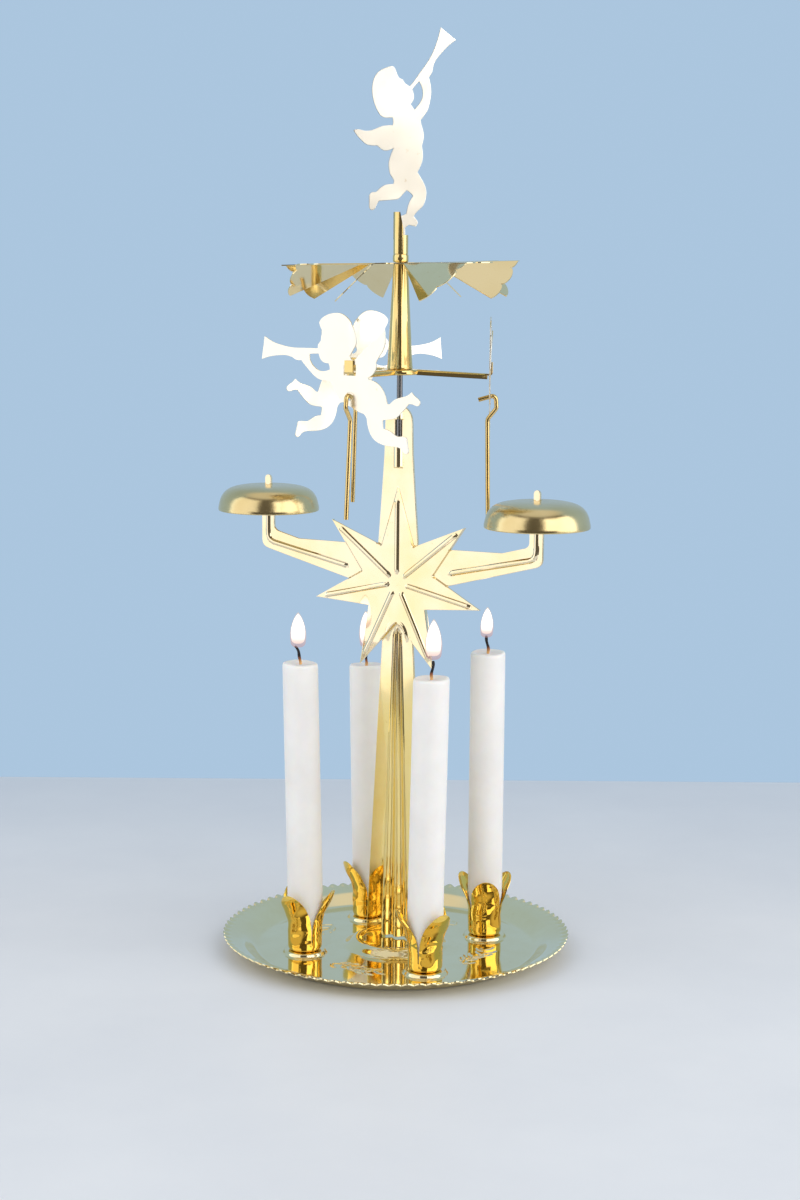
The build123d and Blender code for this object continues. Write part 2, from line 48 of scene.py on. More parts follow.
# ================================================================ materials
def new_mat(name):
    m = bpy.data.materials.new(name)
    m.use_nodes = True
    nt = m.node_tree
    return m, nt, nt.nodes["Principled BSDF"]


def node(nt, kind, **sockets):
    n = nt.nodes.new(kind)
    for k, v in sockets.items():
        n.inputs[k].default_value = v
    return n


def ramp(nt, fac, stops):
    r = nt.nodes.new("ShaderNodeValToRGB")
    els = r.color_ramp.elements
    while len(els) < len(stops):
        els.new(0.5)
    for e, (p, c) in zip(els, stops):
        e.position = p
        e.color = (*c, 1.0)
    nt.links.new(fac, r.inputs["Fac"])
    return r.outputs["Color"]


def remap(nt, value, lo, hi):
    r = nt.nodes.new("ShaderNodeMapRange")
    r.inputs["To Min"].default_value = lo
    r.inputs["To Max"].default_value = hi
    nt.links.new(value, r.inputs["Value"])
    return r.outputs["Result"]


def noise(nt, vector, scale, detail=3.0, rough=0.5):
    n = node(nt, "ShaderNodeTexNoise", Scale=scale, Detail=detail, Roughness=rough)
    if vector is not None:
        nt.links.new(vector, n.inputs["Vector"])
    return n.outputs["Fac"]


def coords(nt, scale=(1, 1, 1)):
    t = nt.nodes.new("ShaderNodeTexCoord")
    if scale == (1, 1, 1):
        return t.outputs["Object"]
    m = node(nt, "ShaderNodeMapping", Scale=scale)
    nt.links.new(t.outputs["Object"], m.inputs["Vector"])
    return m.outputs["Vector"]


def brass(name, light, dark, rough, spread=0.06, bump=0.05, grain=(1, 1, 1), grain_scale=900.0, stain=None, painted_reflection_foot=None):
    """Rolled and polished brass: slow tone changes, uneven polish, fine rolling grain, small tarnish specks."""
    m, nt, bsdf = new_mat(name)
    bsdf.inputs["Metallic"].default_value = 1.0
    slow = noise(nt, coords(nt), 55.0, 4.0, 0.6)
    tone = ramp(nt, slow, [(0.3, dark), (0.62, light)])
    specks = noise(nt, coords(nt), 420.0, 2.0, 0.6)
    spot = ramp(nt, specks, [(0.0, (1, 1, 1)), (0.70, (1, 1, 1)), (0.80, stain or (0.80, 0.70, 0.55))])
    mix = nt.nodes.new("ShaderNodeMix")
    mix.data_type = "RGBA"
    mix.blend_type = "MULTIPLY"
    mix.inputs["Factor"].default_value = 0.55
    nt.links.new(tone, mix.inputs["A"])
    nt.links.new(spot, mix.inputs["B"])
    tinted = mix.outputs["Result"]
    if painted_reflection_foot:
        # painted reflection: the lower end is tinted a deeper gold for the warm light the cups throw back onto it
        t = nt.nodes.new("ShaderNodeTexCoord")
        sep = nt.nodes.new("ShaderNodeSeparateXYZ")
        nt.links.new(t.outputs["Object"], sep.inputs["Vector"])
        low = nt.nodes.new("ShaderNodeMix")
        low.data_type = "RGBA"
        low.blend_type = "MULTIPLY"
        low.inputs["Factor"].default_value = 1.0
        nt.links.new(tinted, low.inputs["A"])
        nt.links.new(ramp(nt, sep.outputs["Z"], [(0.0, painted_reflection_foot), (0.085, painted_reflection_foot), (0.105, (1, 1, 1))]), low.inputs["B"])
        tinted = low.outputs["Result"]
    nt.links.new(tinted, bsdf.inputs["Base Color"])
    polish = noise(nt, coords(nt), 130.0, 4.0, 0.65)
    nt.links.new(remap(nt, polish, max(0.02, rough - spread), rough + spread), bsdf.inputs["Roughness"])
    fine = noise(nt, coords(nt, grain), grain_scale, 2.0, 0.6)
    b = node(nt, "ShaderNodeBump", Strength=bump, Distance=0.0002)
    nt.links.new(fine, b.inputs["Height"])
    nt.links.new(b.outputs["Normal"], bsdf.inputs["Normal"])
    return m


def brushed_bell(name, cx):
    """Spun brass: turning lines run round the axis."""
    m, nt, bsdf = new_mat(name)
    bsdf.inputs["Metallic"].default_value = 1.0
    t = nt.nodes.new("ShaderNodeTexCoord")
    shift = node(nt, "ShaderNodeMapping", Location=(-cx * MM, 0, 0))
    nt.links.new(t.outputs["Object"], shift.inputs["Vector"])
    sep = nt.nodes.new("ShaderNodeSeparateXYZ")
    nt.links.new(shift.outputs["Vector"], sep.inputs["Vector"])
    flat = nt.nodes.new("ShaderNodeCombineXYZ")
    nt.links.new(sep.outputs["X"], flat.inputs["X"])
    nt.links.new(sep.outputs["Y"], flat.inputs["Y"])
    length = nt.nodes.new("ShaderNodeVectorMath")
    length.operation = "LENGTH"
    nt.links.new(flat.outputs["Vector"], length.inputs[0])
    diff = nt.nodes.new("ShaderNodeMath")
    diff.operation = "SUBTRACT"
    nt.links.new(sep.outputs["Z"], diff.inputs[0])
    nt.links.new(length.outputs["Value"], diff.inputs[1])
    along = nt.nodes.new("ShaderNodeCombineXYZ")
    nt.links.new(diff.outputs["Value"], along.inputs["Z"])
    lines = noise(nt, along.outputs["Vector"], 4200.0, 3.0, 0.7)
    slow = noise(nt, coords(nt), 60.0, 3.0, 0.6)
    tone = ramp(nt, slow, [(0.3, (0.69, 0.54, 0.26)), (0.65, (0.76, 0.62, 0.34))])
    nt.links.new(tone, bsdf.inputs["Base Color"])
    nt.links.new(remap(nt, lines, 0.13, 0.30), bsdf.inputs["Roughness"])
    b = node(nt, "ShaderNodeBump", Strength=0.10, Distance=0.0002)
    nt.links.new(lines, b.inputs["Height"])
    nt.links.new(b.outputs["Normal"], bsdf.inputs["Normal"])
    return m


def steel(name):
    m, nt, bsdf = new_mat(name)
    bsdf.inputs["Metallic"].default_value = 1.0
    n = noise(nt, coords(nt, (1, 1, 0.05)), 2500.0, 2.0, 0.6)
    nt.links.new(ramp(nt, n, [(0.3, (0.16, 0.16, 0.17)), (0.7, (0.26, 0.26, 0.27))]), bsdf.inputs["Base Color"])
    nt.links.new(remap(nt, n, 0.16, 0.30), bsdf.inputs["Roughness"])
    return m


def wax(name):
    """Pressed candle wax: soft, faintly mottled, warm near the flame."""
    m, nt, bsdf = new_mat(name)
    n = noise(nt, coords(nt), 70.0, 4.0, 0.6)
    fine = noise(nt, coords(nt), 700.0, 3.0, 0.6)
    nt.links.new(ramp(nt, n, [(0.3, (0.815, 0.79, 0.765)), (0.7, (0.87, 0.85, 0.825))]), bsdf.inputs["Base Color"])
    nt.links.new(remap(nt, fine, 0.36, 0.52), bsdf.inputs["Roughness"])
    bsdf.inputs["Subsurface Weight"].default_value = 0.35
    bsdf.inputs["Subsurface Radius"].default_value = (1.0, 0.72, 0.5)
    bsdf.inputs["Subsurface Scale"].default_value = 0.004
    b = node(nt, "ShaderNodeBump", Strength=0.05, Distance=0.0004)
    nt.links.new(n, b.inputs["Height"])
    nt.links.new(b.outputs["Normal"], bsdf.inputs["Normal"])
    return m


def burnt_wick(name):
    m, nt, bsdf = new_mat(name)
    t = nt.nodes.new("ShaderNodeTexCoord")
    sep = nt.nodes.new("ShaderNodeSeparateXYZ")
    nt.links.new(t.outputs["Generated"], sep.inputs["Vector"])
    n = noise(nt, coords(nt), 2600.0, 3.0, 0.6)
    add = nt.nodes.new("ShaderNodeMath")
    add.operation = "MULTIPLY_ADD"
    add.inputs[1].default_value = 0.12
    nt.links.new(n, add.inputs[0])
    nt.links.new(sep.outputs["Z"], add.inputs[2])
    col = ramp(nt, add.outputs["Value"], [(0.40, (0.75, 0.42, 0.16)), (0.56, (0.28, 0.09, 0.03)), (0.66, (0.012, 0.009, 0.009)), (1.0, (0.02, 0.017, 0.017))])
    nt.links.new(col, bsdf.inputs["Base Color"])
    bsdf.inputs["Roughness"].default_value = 0.85
    b = node(nt, "ShaderNodeBump", Strength=0.6, Distance=0.0002)
    nt.links.new(n, b.inputs["Height"])
    nt.links.new(b.outputs["Normal"], bsdf.inputs["Normal"])
    return m


def flame_mat(name, stops, strength, alpha):
    """Glow that runs up the flame, from a dim root to a bright body."""
    m, nt, bsdf = new_mat(name)
    t = nt.nodes.new("ShaderNodeTexCoord")
    sep = nt.nodes.new("ShaderNodeSeparateXYZ")
    nt.links.new(t.outputs["Generated"], sep.inputs["Vector"])
    nt.links.new(ramp(nt, sep.outputs["Z"], stops), bsdf.inputs["Emission Color"])
    bsdf.inputs["Emission Strength"].default_value = strength
    bsdf.inputs["Base Color"].default_value = (0.02, 0.015, 0.01, 1)
    bsdf.inputs["Roughness"].default_value = 1.0
    bsdf.inputs["Specular IOR Level"].default_value = 0.0
    bsdf.inputs["Alpha"].default_value = alpha
    return m


# the mast sheet's lower end carries a painted warm reflection of the cups
SHEET = brass("brass_sheet", (0.95, 0.83, 0.61), (0.92, 0.77, 0.46), 0.06, 0.02, 0.01, (1, 1, 0.04), 1500.0, painted_reflection_foot=(1.0, 0.92, 0.54))
# painted highlight: the figures' brass is near white, standing in for the bright window light that washes out their
# flat faces
FIGURE = brass("brass_figures_painted_highlight", (0.985, 0.935, 0.84), (0.97, 0.915, 0.80), 0.30, 0.05, 0.04, (1, 1, 0.05), 1500.0)
FAN = brass("brass_fan", (0.91, 0.77, 0.46), (0.87, 0.72, 0.40), 0.06, 0.025, 0.01, (1, 1, 1), 1100.0)
TURNED = brass("brass_turned", (0.86, 0.66, 0.29), (0.80, 0.58, 0.22), 0.09, 0.03, 0.02, (0.05, 0.05, 1), 2200.0)
PLATE = brass("brass_plate_polish", (0.88, 0.76, 0.46), (0.85, 0.71, 0.40), 0.07, 0.03, 0.02, (1, 1, 1), 1200.0)
CUPS = brass("brass_cups", (0.93, 0.65, 0.14), (0.87, 0.56, 0.09), 0.06, 0.025, 0.01, (1, 1, 1), 1000.0)
WIRE = brass("brass_wire_drawn", (0.84, 0.62, 0.28), (0.76, 0.53, 0.20), 0.20, 0.06, 0.08, (1, 1, 0.05), 2600.0)
BELL_L = brushed_bell("brass_bell_left", -51.55)
BELL_R = brushed_bell("brass_bell_right", 51.55)
STEEL = steel("needle_steel")
WAX = wax("candle_wax")
WICK = burnt_wick("wick_burnt")
GLOW = flame_mat("flame_body", [(0.0, (0.40, 0.32, 0.29)), (0.14, (0.52, 0.44, 0.40)), (0.34, (1.0, 0.94, 0.86)), (0.8, (1.0, 0.96, 0.90)), (1.0, (0.80, 0.70, 0.62))], 2.6, 1.0)
HALO = flame_mat("flame_edge", [(0.0, (0.70, 0.42, 0.46)), (0.3, (1.0, 0.70, 0.62)), (1.0, (1.0, 0.82, 0.70))], 0.75, 0.38)


# ================================================================ mesh helpers
def add_object(name, verts, faces, mat, body, nodes=(), angle=38.0, flip_check=True):
    """A closed mesh piece in millimetres that rides on a body and may stand for CAD nodes."""
    me = bpy.data.meshes.new(name)
    me.from_pydata([(float(x) * MM, float(y) * MM, (float(z) - LIFT) * MM) for x, y, z in verts], [], [tuple(int(i) for i in f) for f in faces])
    me.validate()
    if flip_check:
        bm = bmesh.new()
        bm.from_mesh(me)
        bmesh.ops.remove_doubles(bm, verts=bm.verts, dist=1e-7)
        bmesh.ops.delete(bm, geom=[v for v in bm.verts if not v.link_faces], context="VERTS")
        bmesh.ops.recalc_face_normals(bm, faces=bm.faces)
        if bm.calc_volume(signed=True) < 0:
            bmesh.ops.reverse_faces(bm, faces=bm.faces)
        bm.to_mesh(me)
        bm.free()
    me.polygons.foreach_set("use_smooth", [True] * len(me.polygons))
    me.set_sharp_from_angle(angle=math.radians(angle))
    me.update()
    me.materials.append(mat)
    ob = bpy.data.objects.new(name, me)
    scene.collection.objects.link(ob)
    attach(ob, body)
    if nodes:
        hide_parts(*nodes)
    return ob


class Build:
    """Collects the vertices and faces of one piece."""

    def __init__(self):
        self.v, self.f = [], []

    def add(self, verts, faces):
        n = len(self.v)
        self.v.extend(tuple(map(float, p)) for p in verts)
        self.f.extend(tuple(int(i) + n for i in f) for f in faces)


def lathe(profile, n=96, centre=(0.0, 0.0), wobble=None):
    """Closed surface of revolution from a closed (r, z) outline."""
    verts, faces, rows = [], [], []
    for r, z in profile:
        if r < 1e-6:
            rows.append([len(verts)] * n)
            verts.append((centre[0], centre[1], z))
        else:
            row = []
            for k in range(n):
                a = 2 * math.pi * k / n
                dr, dz = wobble(a, r, z) if wobble else (0.0, 0.0)
                row.append(len(verts))
                verts.append((centre[0] + (r + dr) * math.cos(a), centre[1] + (r + dr) * math.sin(a), z + dz))
            rows.append(row)
    m = len(rows)
    for i in range(m):
        a, b = rows[i], rows[(i + 1) % m]
        if a[0] == a[1] and b[0] == b[1]:
            continue
        for k in range(n):
            q = [a[k], a[(k + 1) % n], b[(k + 1) % n], b[k]]
            q = [x for j, x in enumerate(q) if x != q[j - 1]]
            if len(q) > 2:
                faces.append(tuple(q))
    return verts, faces


def rounded(points, radius, seg=4, closed=True):
    """Rounds the corners of a 2-D outline. radius is one number or one per point."""
    P = [np.array(p, float) for p in points]
    rad = radius if isinstance(radius, (list, tuple)) else [radius] * len(P)
    out = []
    n = len(P)
    for i, p in enumerate(P):
        if not closed and i in (0, n - 1):
            out.append(tuple(p))
            continue
        a, b = P[i - 1] - p, P[(i + 1) % n] - p
        la, lb = np.linalg.norm(a), np.linalg.norm(b)
        d = min(rad[i], 0.45 * la, 0.45 * lb)
        if d < 1e-4:
            out.append(tuple(p))
            continue
        s, e = p + a / la * d, p + b / lb * d
        for k in range(seg + 1):
            t = k / seg
            out.append(tuple((1 - t) ** 2 * s + 2 * t * (1 - t) * p + t * t * e))
    return out


def curve_points(pts, step):
    """Points along a straight line or a smooth curve through pts, the last point left out."""
    P = np.array(pts, float)
    if len(P) == 2:
        n = max(1, int(round(np.linalg.norm(P[1] - P[0]) / step)))
        return [P[0] + (P[1] - P[0]) * i / n for i in range(n)]
    t = np.concatenate([[0], np.cumsum(np.linalg.norm(np.diff(P, axis=0), axis=1))])
    n = len(P)
    h = np.diff(t)
    A = np.eye(n)
    B = np.zeros((n, P.shape[1]))
    for i in range(1, n - 1):
        A[i, i - 1], A[i, i], A[i, i + 1] = h[i - 1], 2 * (h[i - 1] + h[i]), h[i]
        B[i] = 6 * ((P[i + 1] - P[i]) / h[i] - (P[i] - P[i - 1]) / h[i - 1])
    M = np.linalg.solve(A, B)
    out = []
    m = max(n - 1, int(round(t[-1] / step)))
    for x in np.linspace(0, t[-1], m, endpoint=False):
        i = min(max(int(np.searchsorted(t, x, side="right")) - 1, 0), n - 2)
        a, b = t[i + 1] - x, x - t[i]
        out.append(M[i] * a ** 3 / (6 * h[i]) + M[i + 1] * b ** 3 / (6 * h[i]) + (P[i] / h[i] - M[i] * h[i] / 6) * a + (P[i + 1] / h[i] - M[i + 1] * h[i] / 6) * b)
    return out


def outline(segments, step, ccw=True):
    pts = []
    for seg in segments:
        pts.extend(curve_points(seg, step))
    P = np.array(pts)
    x, y = P[:, 0], P[:, 1]
    area = 0.5 * np.sum(x * np.roll(y, -1) - np.roll(x, -1) * y)
    return P if (area > 0) == ccw else P[::-1].copy()


def inset(P, d):
    """The loop moved d to its left, which is into the sheet."""
    e = np.roll(P, -1, axis=0) - P
    e /= np.maximum(np.linalg.norm(e, axis=1, keepdims=True), 1e-9)
    nrm = np.stack([-e[:, 1], e[:, 0]], 1)
    s = nrm + np.roll(nrm, 1, axis=0)
    k = np.sum(s * s, axis=1, keepdims=True)
    s = s / np.maximum(k, 0.5) * 2.0
    return P + s * d


def inside(points, loop):
    x, y = points[:, 0], points[:, 1]
    res = np.zeros(len(points), bool)
    x1, y1 = loop[:, 0], loop[:, 1]
    x2, y2 = np.roll(x1, -1), np.roll(y1, -1)
    for a, b, c, d in zip(x1, y1, x2, y2):
        if b == d:
            continue
        cross = ((b > y) != (d > y))
        if cross.any():
            res[cross] ^= x[cross] < (c - a) * (y[cross] - b) / (d - b) + a
    return res


def seg_dist(X, Z, a, b):
    a, b = np.array(a, float), np.array(b, float)
    d = b - a
    t = np.clip(((X - a[0]) * d[0] + (Z - a[1]) * d[1]) / np.dot(d, d), 0, 1)
    return np.hypot(X - a[0] - t * d[0], Z - a[1] - t * d[1])


def smooth01(t):
    t = np.clip(t, 0, 1)
    return t * t * (3 - 2 * t)


def near_loops(points, loops, limit):
    keep = np.ones(len(points), bool)
    allp = np.concatenate(loops)
    for i in range(0, len(points), 2000):
        part = points[i:i + 2000]
        d2 = ((part[:, None, 0] - allp[None, :, 0]) ** 2 + (part[:, None, 1] - allp[None, :, 1]) ** 2).min(axis=1)
        keep[i:i + 2000] = d2 > limit ** 2
    return keep


def room(points, loop):
    """How far each point is from the loop."""
    a, ab = loop, np.roll(loop, -1, axis=0) - loop
    l2 = np.maximum((ab * ab).sum(axis=1), 1e-12)
    out = []
    for i in range(0, len(points), 500):
        ap = points[i:i + 500, None, :] - a[None]
        t = np.clip((ap * ab[None]).sum(axis=2) / l2[None], 0, 1)
        out.append(np.linalg.norm(ap - t[:, :, None] * ab[None], axis=2).min(axis=1))
    return np.concatenate(out)


def loop_area(P):
    Q = np.roll(P, -1, axis=0)
    return abs(float((P[:, 0] * Q[:, 1] - P[:, 1] * Q[:, 0]).sum())) / 2


def formed_sheet(outer, holes, thick, edge, grid, height, place):
    """A stamped sheet: outline with round edges, pressed relief from height(x, z), both faces formed alike. place(x, z, depth) gives the point in the row frame."""
    loops = [outer] + list(holes)
    caps = []
    for l in loops:
        c, slight = inset(l, edge), inset(l, 0.15 * edge)
        tight = room(c, l) < 0.9 * edge      # sharp tips leave no room for the full rounding
        c[tight] = slight[tight]
        caps.append(c)
    pts = grid
    if len(pts):
        ok = inside(pts, outer)
        for h in holes:
            ok &= ~inside(pts, h)
        pts = pts[ok]
        if len(pts):
            pts = pts[near_loops(pts, caps + loops, 0.22)]
    band = np.concatenate([inset(l, edge + 0.06) for l in loops])
    ok = inside(band, caps[0])
    for c in caps[1:]:
        ok &= ~inside(band, c)
    band = band[ok]
    band = band[near_loops(band, caps, 0.035)]
    flat = np.concatenate(caps + [band, pts]) if len(pts) else np.concatenate(caps + [band])
    edges, start = [], 0
    for c in caps:
        n = len(c)
        edges += [(start + i, start + (i + 1) % n) for i in range(n)]
        start += n
    cv, _, cf, ov, _, _ = delaunay_2d_cdt([Vector((float(p[0]), float(p[1]))) for p in flat], edges, [], 0, 1e-6, True)
    cv = np.array([(p[0], p[1]) for p in cv])
    tri = np.array([f for f in cf if len(f) == 3])
    # which output vertex each loop point became
    where = {}
    for out_i, origin in enumerate(ov):
        for o in origin:
            where[o] = out_i
    # the loops part the triangles into regions; the regions that reach the hull or lie in a hole are waste
    walls = {(min(where[i], where[j]), max(where[i], where[j])) for i, j in edges}
    sides = {}
    for t, (a, b, c) in enumerate(tri):
        for q in ((a, b), (b, c), (c, a)):
            q = (min(q), max(q))
            if q not in walls:
                sides.setdefault(q, []).append(t)
    touch = [[] for _ in tri]
    hull = set()
    for two in sides.values():
        if len(two) == 2:
            touch[two[0]].append(two[1])
            touch[two[1]].append(two[0])
        else:
            hull.add(two[0])
    A, B, C = cv[tri[:, 0]], cv[tri[:, 1]], cv[tri[:, 2]]
    area = np.abs((B[:, 0] - A[:, 0]) * (C[:, 1] - A[:, 1]) - (B[:, 1] - A[:, 1]) * (C[:, 0] - A[:, 0])) / 2
    ok = np.zeros(len(tri), bool)
    seen = np.zeros(len(tri), bool)
    for first in range(len(tri)):
        if seen[first]:
            continue
        seen[first] = True
        region = [first]
        for t in region:
            for n in touch[t]:
                if not seen[n]:
                    seen[n] = True
                    region.append(n)
        cen = cv[tri[region[int(np.argmax(area[region]))]]].mean(axis=0)[None, :]
        ok[region] = hull.isdisjoint(region) and bool(inside(cen, caps[0])[0]) and not any(bool(inside(cen, c)[0]) for c in caps[1:])
    if area[ok].sum() < 0.9 * (loop_area(caps[0]) - sum(loop_area(c) for c in caps[1:])):
        raise ValueError("a loop of a sheet crosses itself")
    tri = tri[ok]
    hf = height(cv[:, 0], cv[:, 1])
    v, f = [], []
    half = thick / 2
    n_cap = len(cv)
    for sign in (1.0, -1.0):
        for p, h in zip(cv, hf):
            v.append(place(p[0], p[1], sign * half + h))
    for a, b, c in tri:
        f.append((a, b, c))
        f.append((a + n_cap, c + n_cap, b + n_cap))
    start = 0
    for c, l in zip(caps, loops):
        n = len(c)
        rows = [[where[start + i] for i in range(n)]]
        mid1 = l + (c - l) * 0.3
        for loop_pts, depth in ((mid1, half - 0.3 * edge), (l, half - edge), (l, -half + edge), (mid1, -half + 0.3 * edge)):
            hl = height(loop_pts[:, 0], loop_pts[:, 1])
            base = len(v)
            for p, h in zip(loop_pts, hl):
                v.append(place(p[0], p[1], depth + h))
            rows.append(list(range(base, base + n)))
        rows.append([where[start + i] + n_cap for i in range(n)])
        for r1, r2 in zip(rows[:-1], rows[1:]):
            for i in range(n):
                f.append((r1[i], r2[i], r2[(i + 1) % n], r1[(i + 1) % n]))
        start += n
    return v, f


def lattice(lo, hi, step):
    xs = np.arange(lo[0], hi[0] + step, step)
    zs = np.arange(lo[1], hi[1] + step, step)
    X, Z = np.meshgrid(xs, zs)
    X = X + (np.arange(X.shape[0]) % 2)[:, None] * step * 0.5
    return np.stack([X.ravel(), Z.ravel()], 1)


def circle(cx, cz, r, n):
    return np.array([(cx + r * math.cos(-2 * math.pi * k / n), cz + r * math.sin(-2 * math.pi * k / n)) for k in range(n)])


def polar(r, az, z=0.0):
    a = math.radians(az)
    return (r * math.cos(a), r * math.sin(a), z)


def spin(verts, az):
    c, s = math.cos(math.radians(az)), math.sin(math.radians(az))
    return [(x * c - y * s, x * s + y * c, z) for x, y, z in verts]


# ================================================================ base plate
HOLDER_AZ = (45.0, 135.0, 225.0, 315.0)
HOLDER_PCR = 33.0
WAVES = 92


def plate_piece():
    key_r = [0, 11.4, 12.0, 12.6, 13.4, 14.2, 15.0, 15.8, 16.6, 17.4, 18.3, 48.5, 49.2, 50.0, 51.0, 52.1, 53.2, 54.0, 54.9, 56.0, 57.2, 58.8, 60.3, 62.0]
    key_z = [2.7, 2.7, 2.8, 3.1, 3.33, 3.33, 3.1, 2.5, 1.7, 1.0, 0.6, 0.6, 0.85, 1.38, 2.08, 2.85, 3.6, 4.03, 4.36, 4.68, 5.0, 5.42, 5.8, 6.2]
    rf = np.linspace(0, 62, 1241)
    zf = np.interp(rf, key_r, key_z)
    ker = np.exp(-0.5 * (np.arange(-30, 31) / 10.0) ** 2)
    zf = np.convolve(np.concatenate([np.full(30, zf[0]), zf, np.full(30, zf[-1])]), ker / ker.sum(), mode="valid")
    rs = np.unique(np.round(np.concatenate([np.linspace(0.5, 11.2, 9), np.linspace(11.2, 18.6, 36), np.linspace(18.6, 25.0, 14), np.linspace(25.0, 42.6, 76),
                                            np.linspace(42.6, 55.0, 52), np.linspace(55.0, 60.3, 26)]), 4))
    n = WAVES * 12
    th = np.arange(n) * 2 * math.pi / n
    R, T = np.meshgrid(rs, th, indexing="ij")
    Z = np.interp(R, rf, zf)
    X, Y = R * np.cos(T), R * np.sin(T)
    for az in HOLDER_AZ:
        hx, hy, _ = polar(HOLDER_PCR, az)
        d = np.hypot(X - hx, Y - hy)
        Z = np.maximum(Z, 0.6 + 1.2 * smooth01((7.75 - d) / 0.9))
    # pressed ornament on the floor between the holders: a plain curved sprig with small leaves
    orn = np.zeros_like(Z)

    def stroke(p0, p1, wide, high):
        d = seg_dist(X, Y, p0, p1)
        return high * smooth01(1 - d / wide)

    for az in (0, 90, 180, 270):
        for k in range(-5, 6):
            a0, a1 = math.radians(az + k * 3.1), math.radians(az + (k + 1) * 3.1)
            r0, r1 = 31.0 + 1.5 * math.sin(k * 0.62), 31.0 + 1.5 * math.sin((k + 1) * 0.62)
            orn = np.maximum(orn, stroke((r0 * math.cos(a0), r0 * math.sin(a0)), (r1 * math.cos(a1), r1 * math.sin(a1)), 0.5, 0.30))
            up = 1 if k % 2 else -1
            b0, b1, b2 = a0, math.radians(az + k * 3.1 + 2.4), math.radians(az + k * 3.1 + 5.4)
            q0, q1, q2 = r0 + 0.9 * up, r0 + 2.4 * up, r0 + 3.1 * up
            orn = np.maximum(orn, stroke((q0 * math.cos(b0), q0 * math.sin(b0)), (q1 * math.cos(b1), q1 * math.sin(b1)), 0.75, 0.36))
            orn = np.maximum(orn, stroke((q1 * math.cos(b1), q1 * math.sin(b1)), (q2 * math.cos(b2), q2 * math.sin(b2)), 0.62, 0.34))
    Z = Z + orn
    # the fluted edge
    k = smooth01((R - 57.2) / 3.0)
    wave = np.sqrt(0.05 + 0.95 * np.cos(WAVES * T / 2) ** 2)
    Z = Z + k * 0.90 * (wave - 0.66)
    grow = 1 + k * (1.0 * (wave - 1)) / 60.3
    X, Y = X * grow, Y * grow
    # slow unevenness of a hand-pressed dish
    Z = Z + 0.06 * smooth01((R - 44) / 12) * np.sin(3 * T + 0.7) + 0.04 * smooth01((R - 46) / 10) * np.sin(7 * T + 2.0)
    t = 0.55
    b = Build()
    m = len(rs)
    Z = Z + LIFT
    verts, faces = [(0, 0, 2.7 + LIFT)], []
    for i in range(m):
        verts += list(zip(X[i], Y[i], Z[i]))
    bottom = len(verts)
    under = np.maximum(Z - t - orn * 0.15, LIFT + 0.02)
    verts.append((0, 0, 2.7 + LIFT - t))
    for i in range(m):
        verts += list(zip(X[i], Y[i], under[i]))

    def tid(i, j):
        return 1 + i * n + j % n

    def bid(i, j):
        return bottom + 1 + i * n + j % n

    for j in range(n):
        faces.append((0, tid(0, j), tid(0, j + 1)))
        faces.append((bottom, bid(0, j + 1), bid(0, j)))
        for i in range(m - 1):
            faces.append((tid(i, j), tid(i + 1, j), tid(i + 1, j + 1), tid(i, j + 1)))
            faces.append((bid(i, j), bid(i, j + 1), bid(i + 1, j + 1), bid(i + 1, j)))
    # rounded outer edge
    base = len(verts)
    for j in range(n):
        s = 1 + 0.14 / 60.3
        verts.append((X[-1][j] * s, Y[-1][j] * s, (Z[-1][j] + under[-1][j]) / 2))
    for j in range(n):
        faces.append((tid(m - 1, j), base + j, base + (j + 1) % n, tid(m - 1, j + 1)))
        faces.append((base + j, bid(m - 1, j), bid(m - 1, j + 1), base + (j + 1) % n))
    b.add(verts, faces)
    return add_object("dish", b.v, b.f, PLATE, "stand", ["base_plate"], angle=50)


plate_piece()


# ================================================================ candle holders
HOLDER_TURN = (-62.5, -2.5, 25.0, -26.0)
HOLDER_FLARE = (1.0, 1.0, 1.06, 1.06)


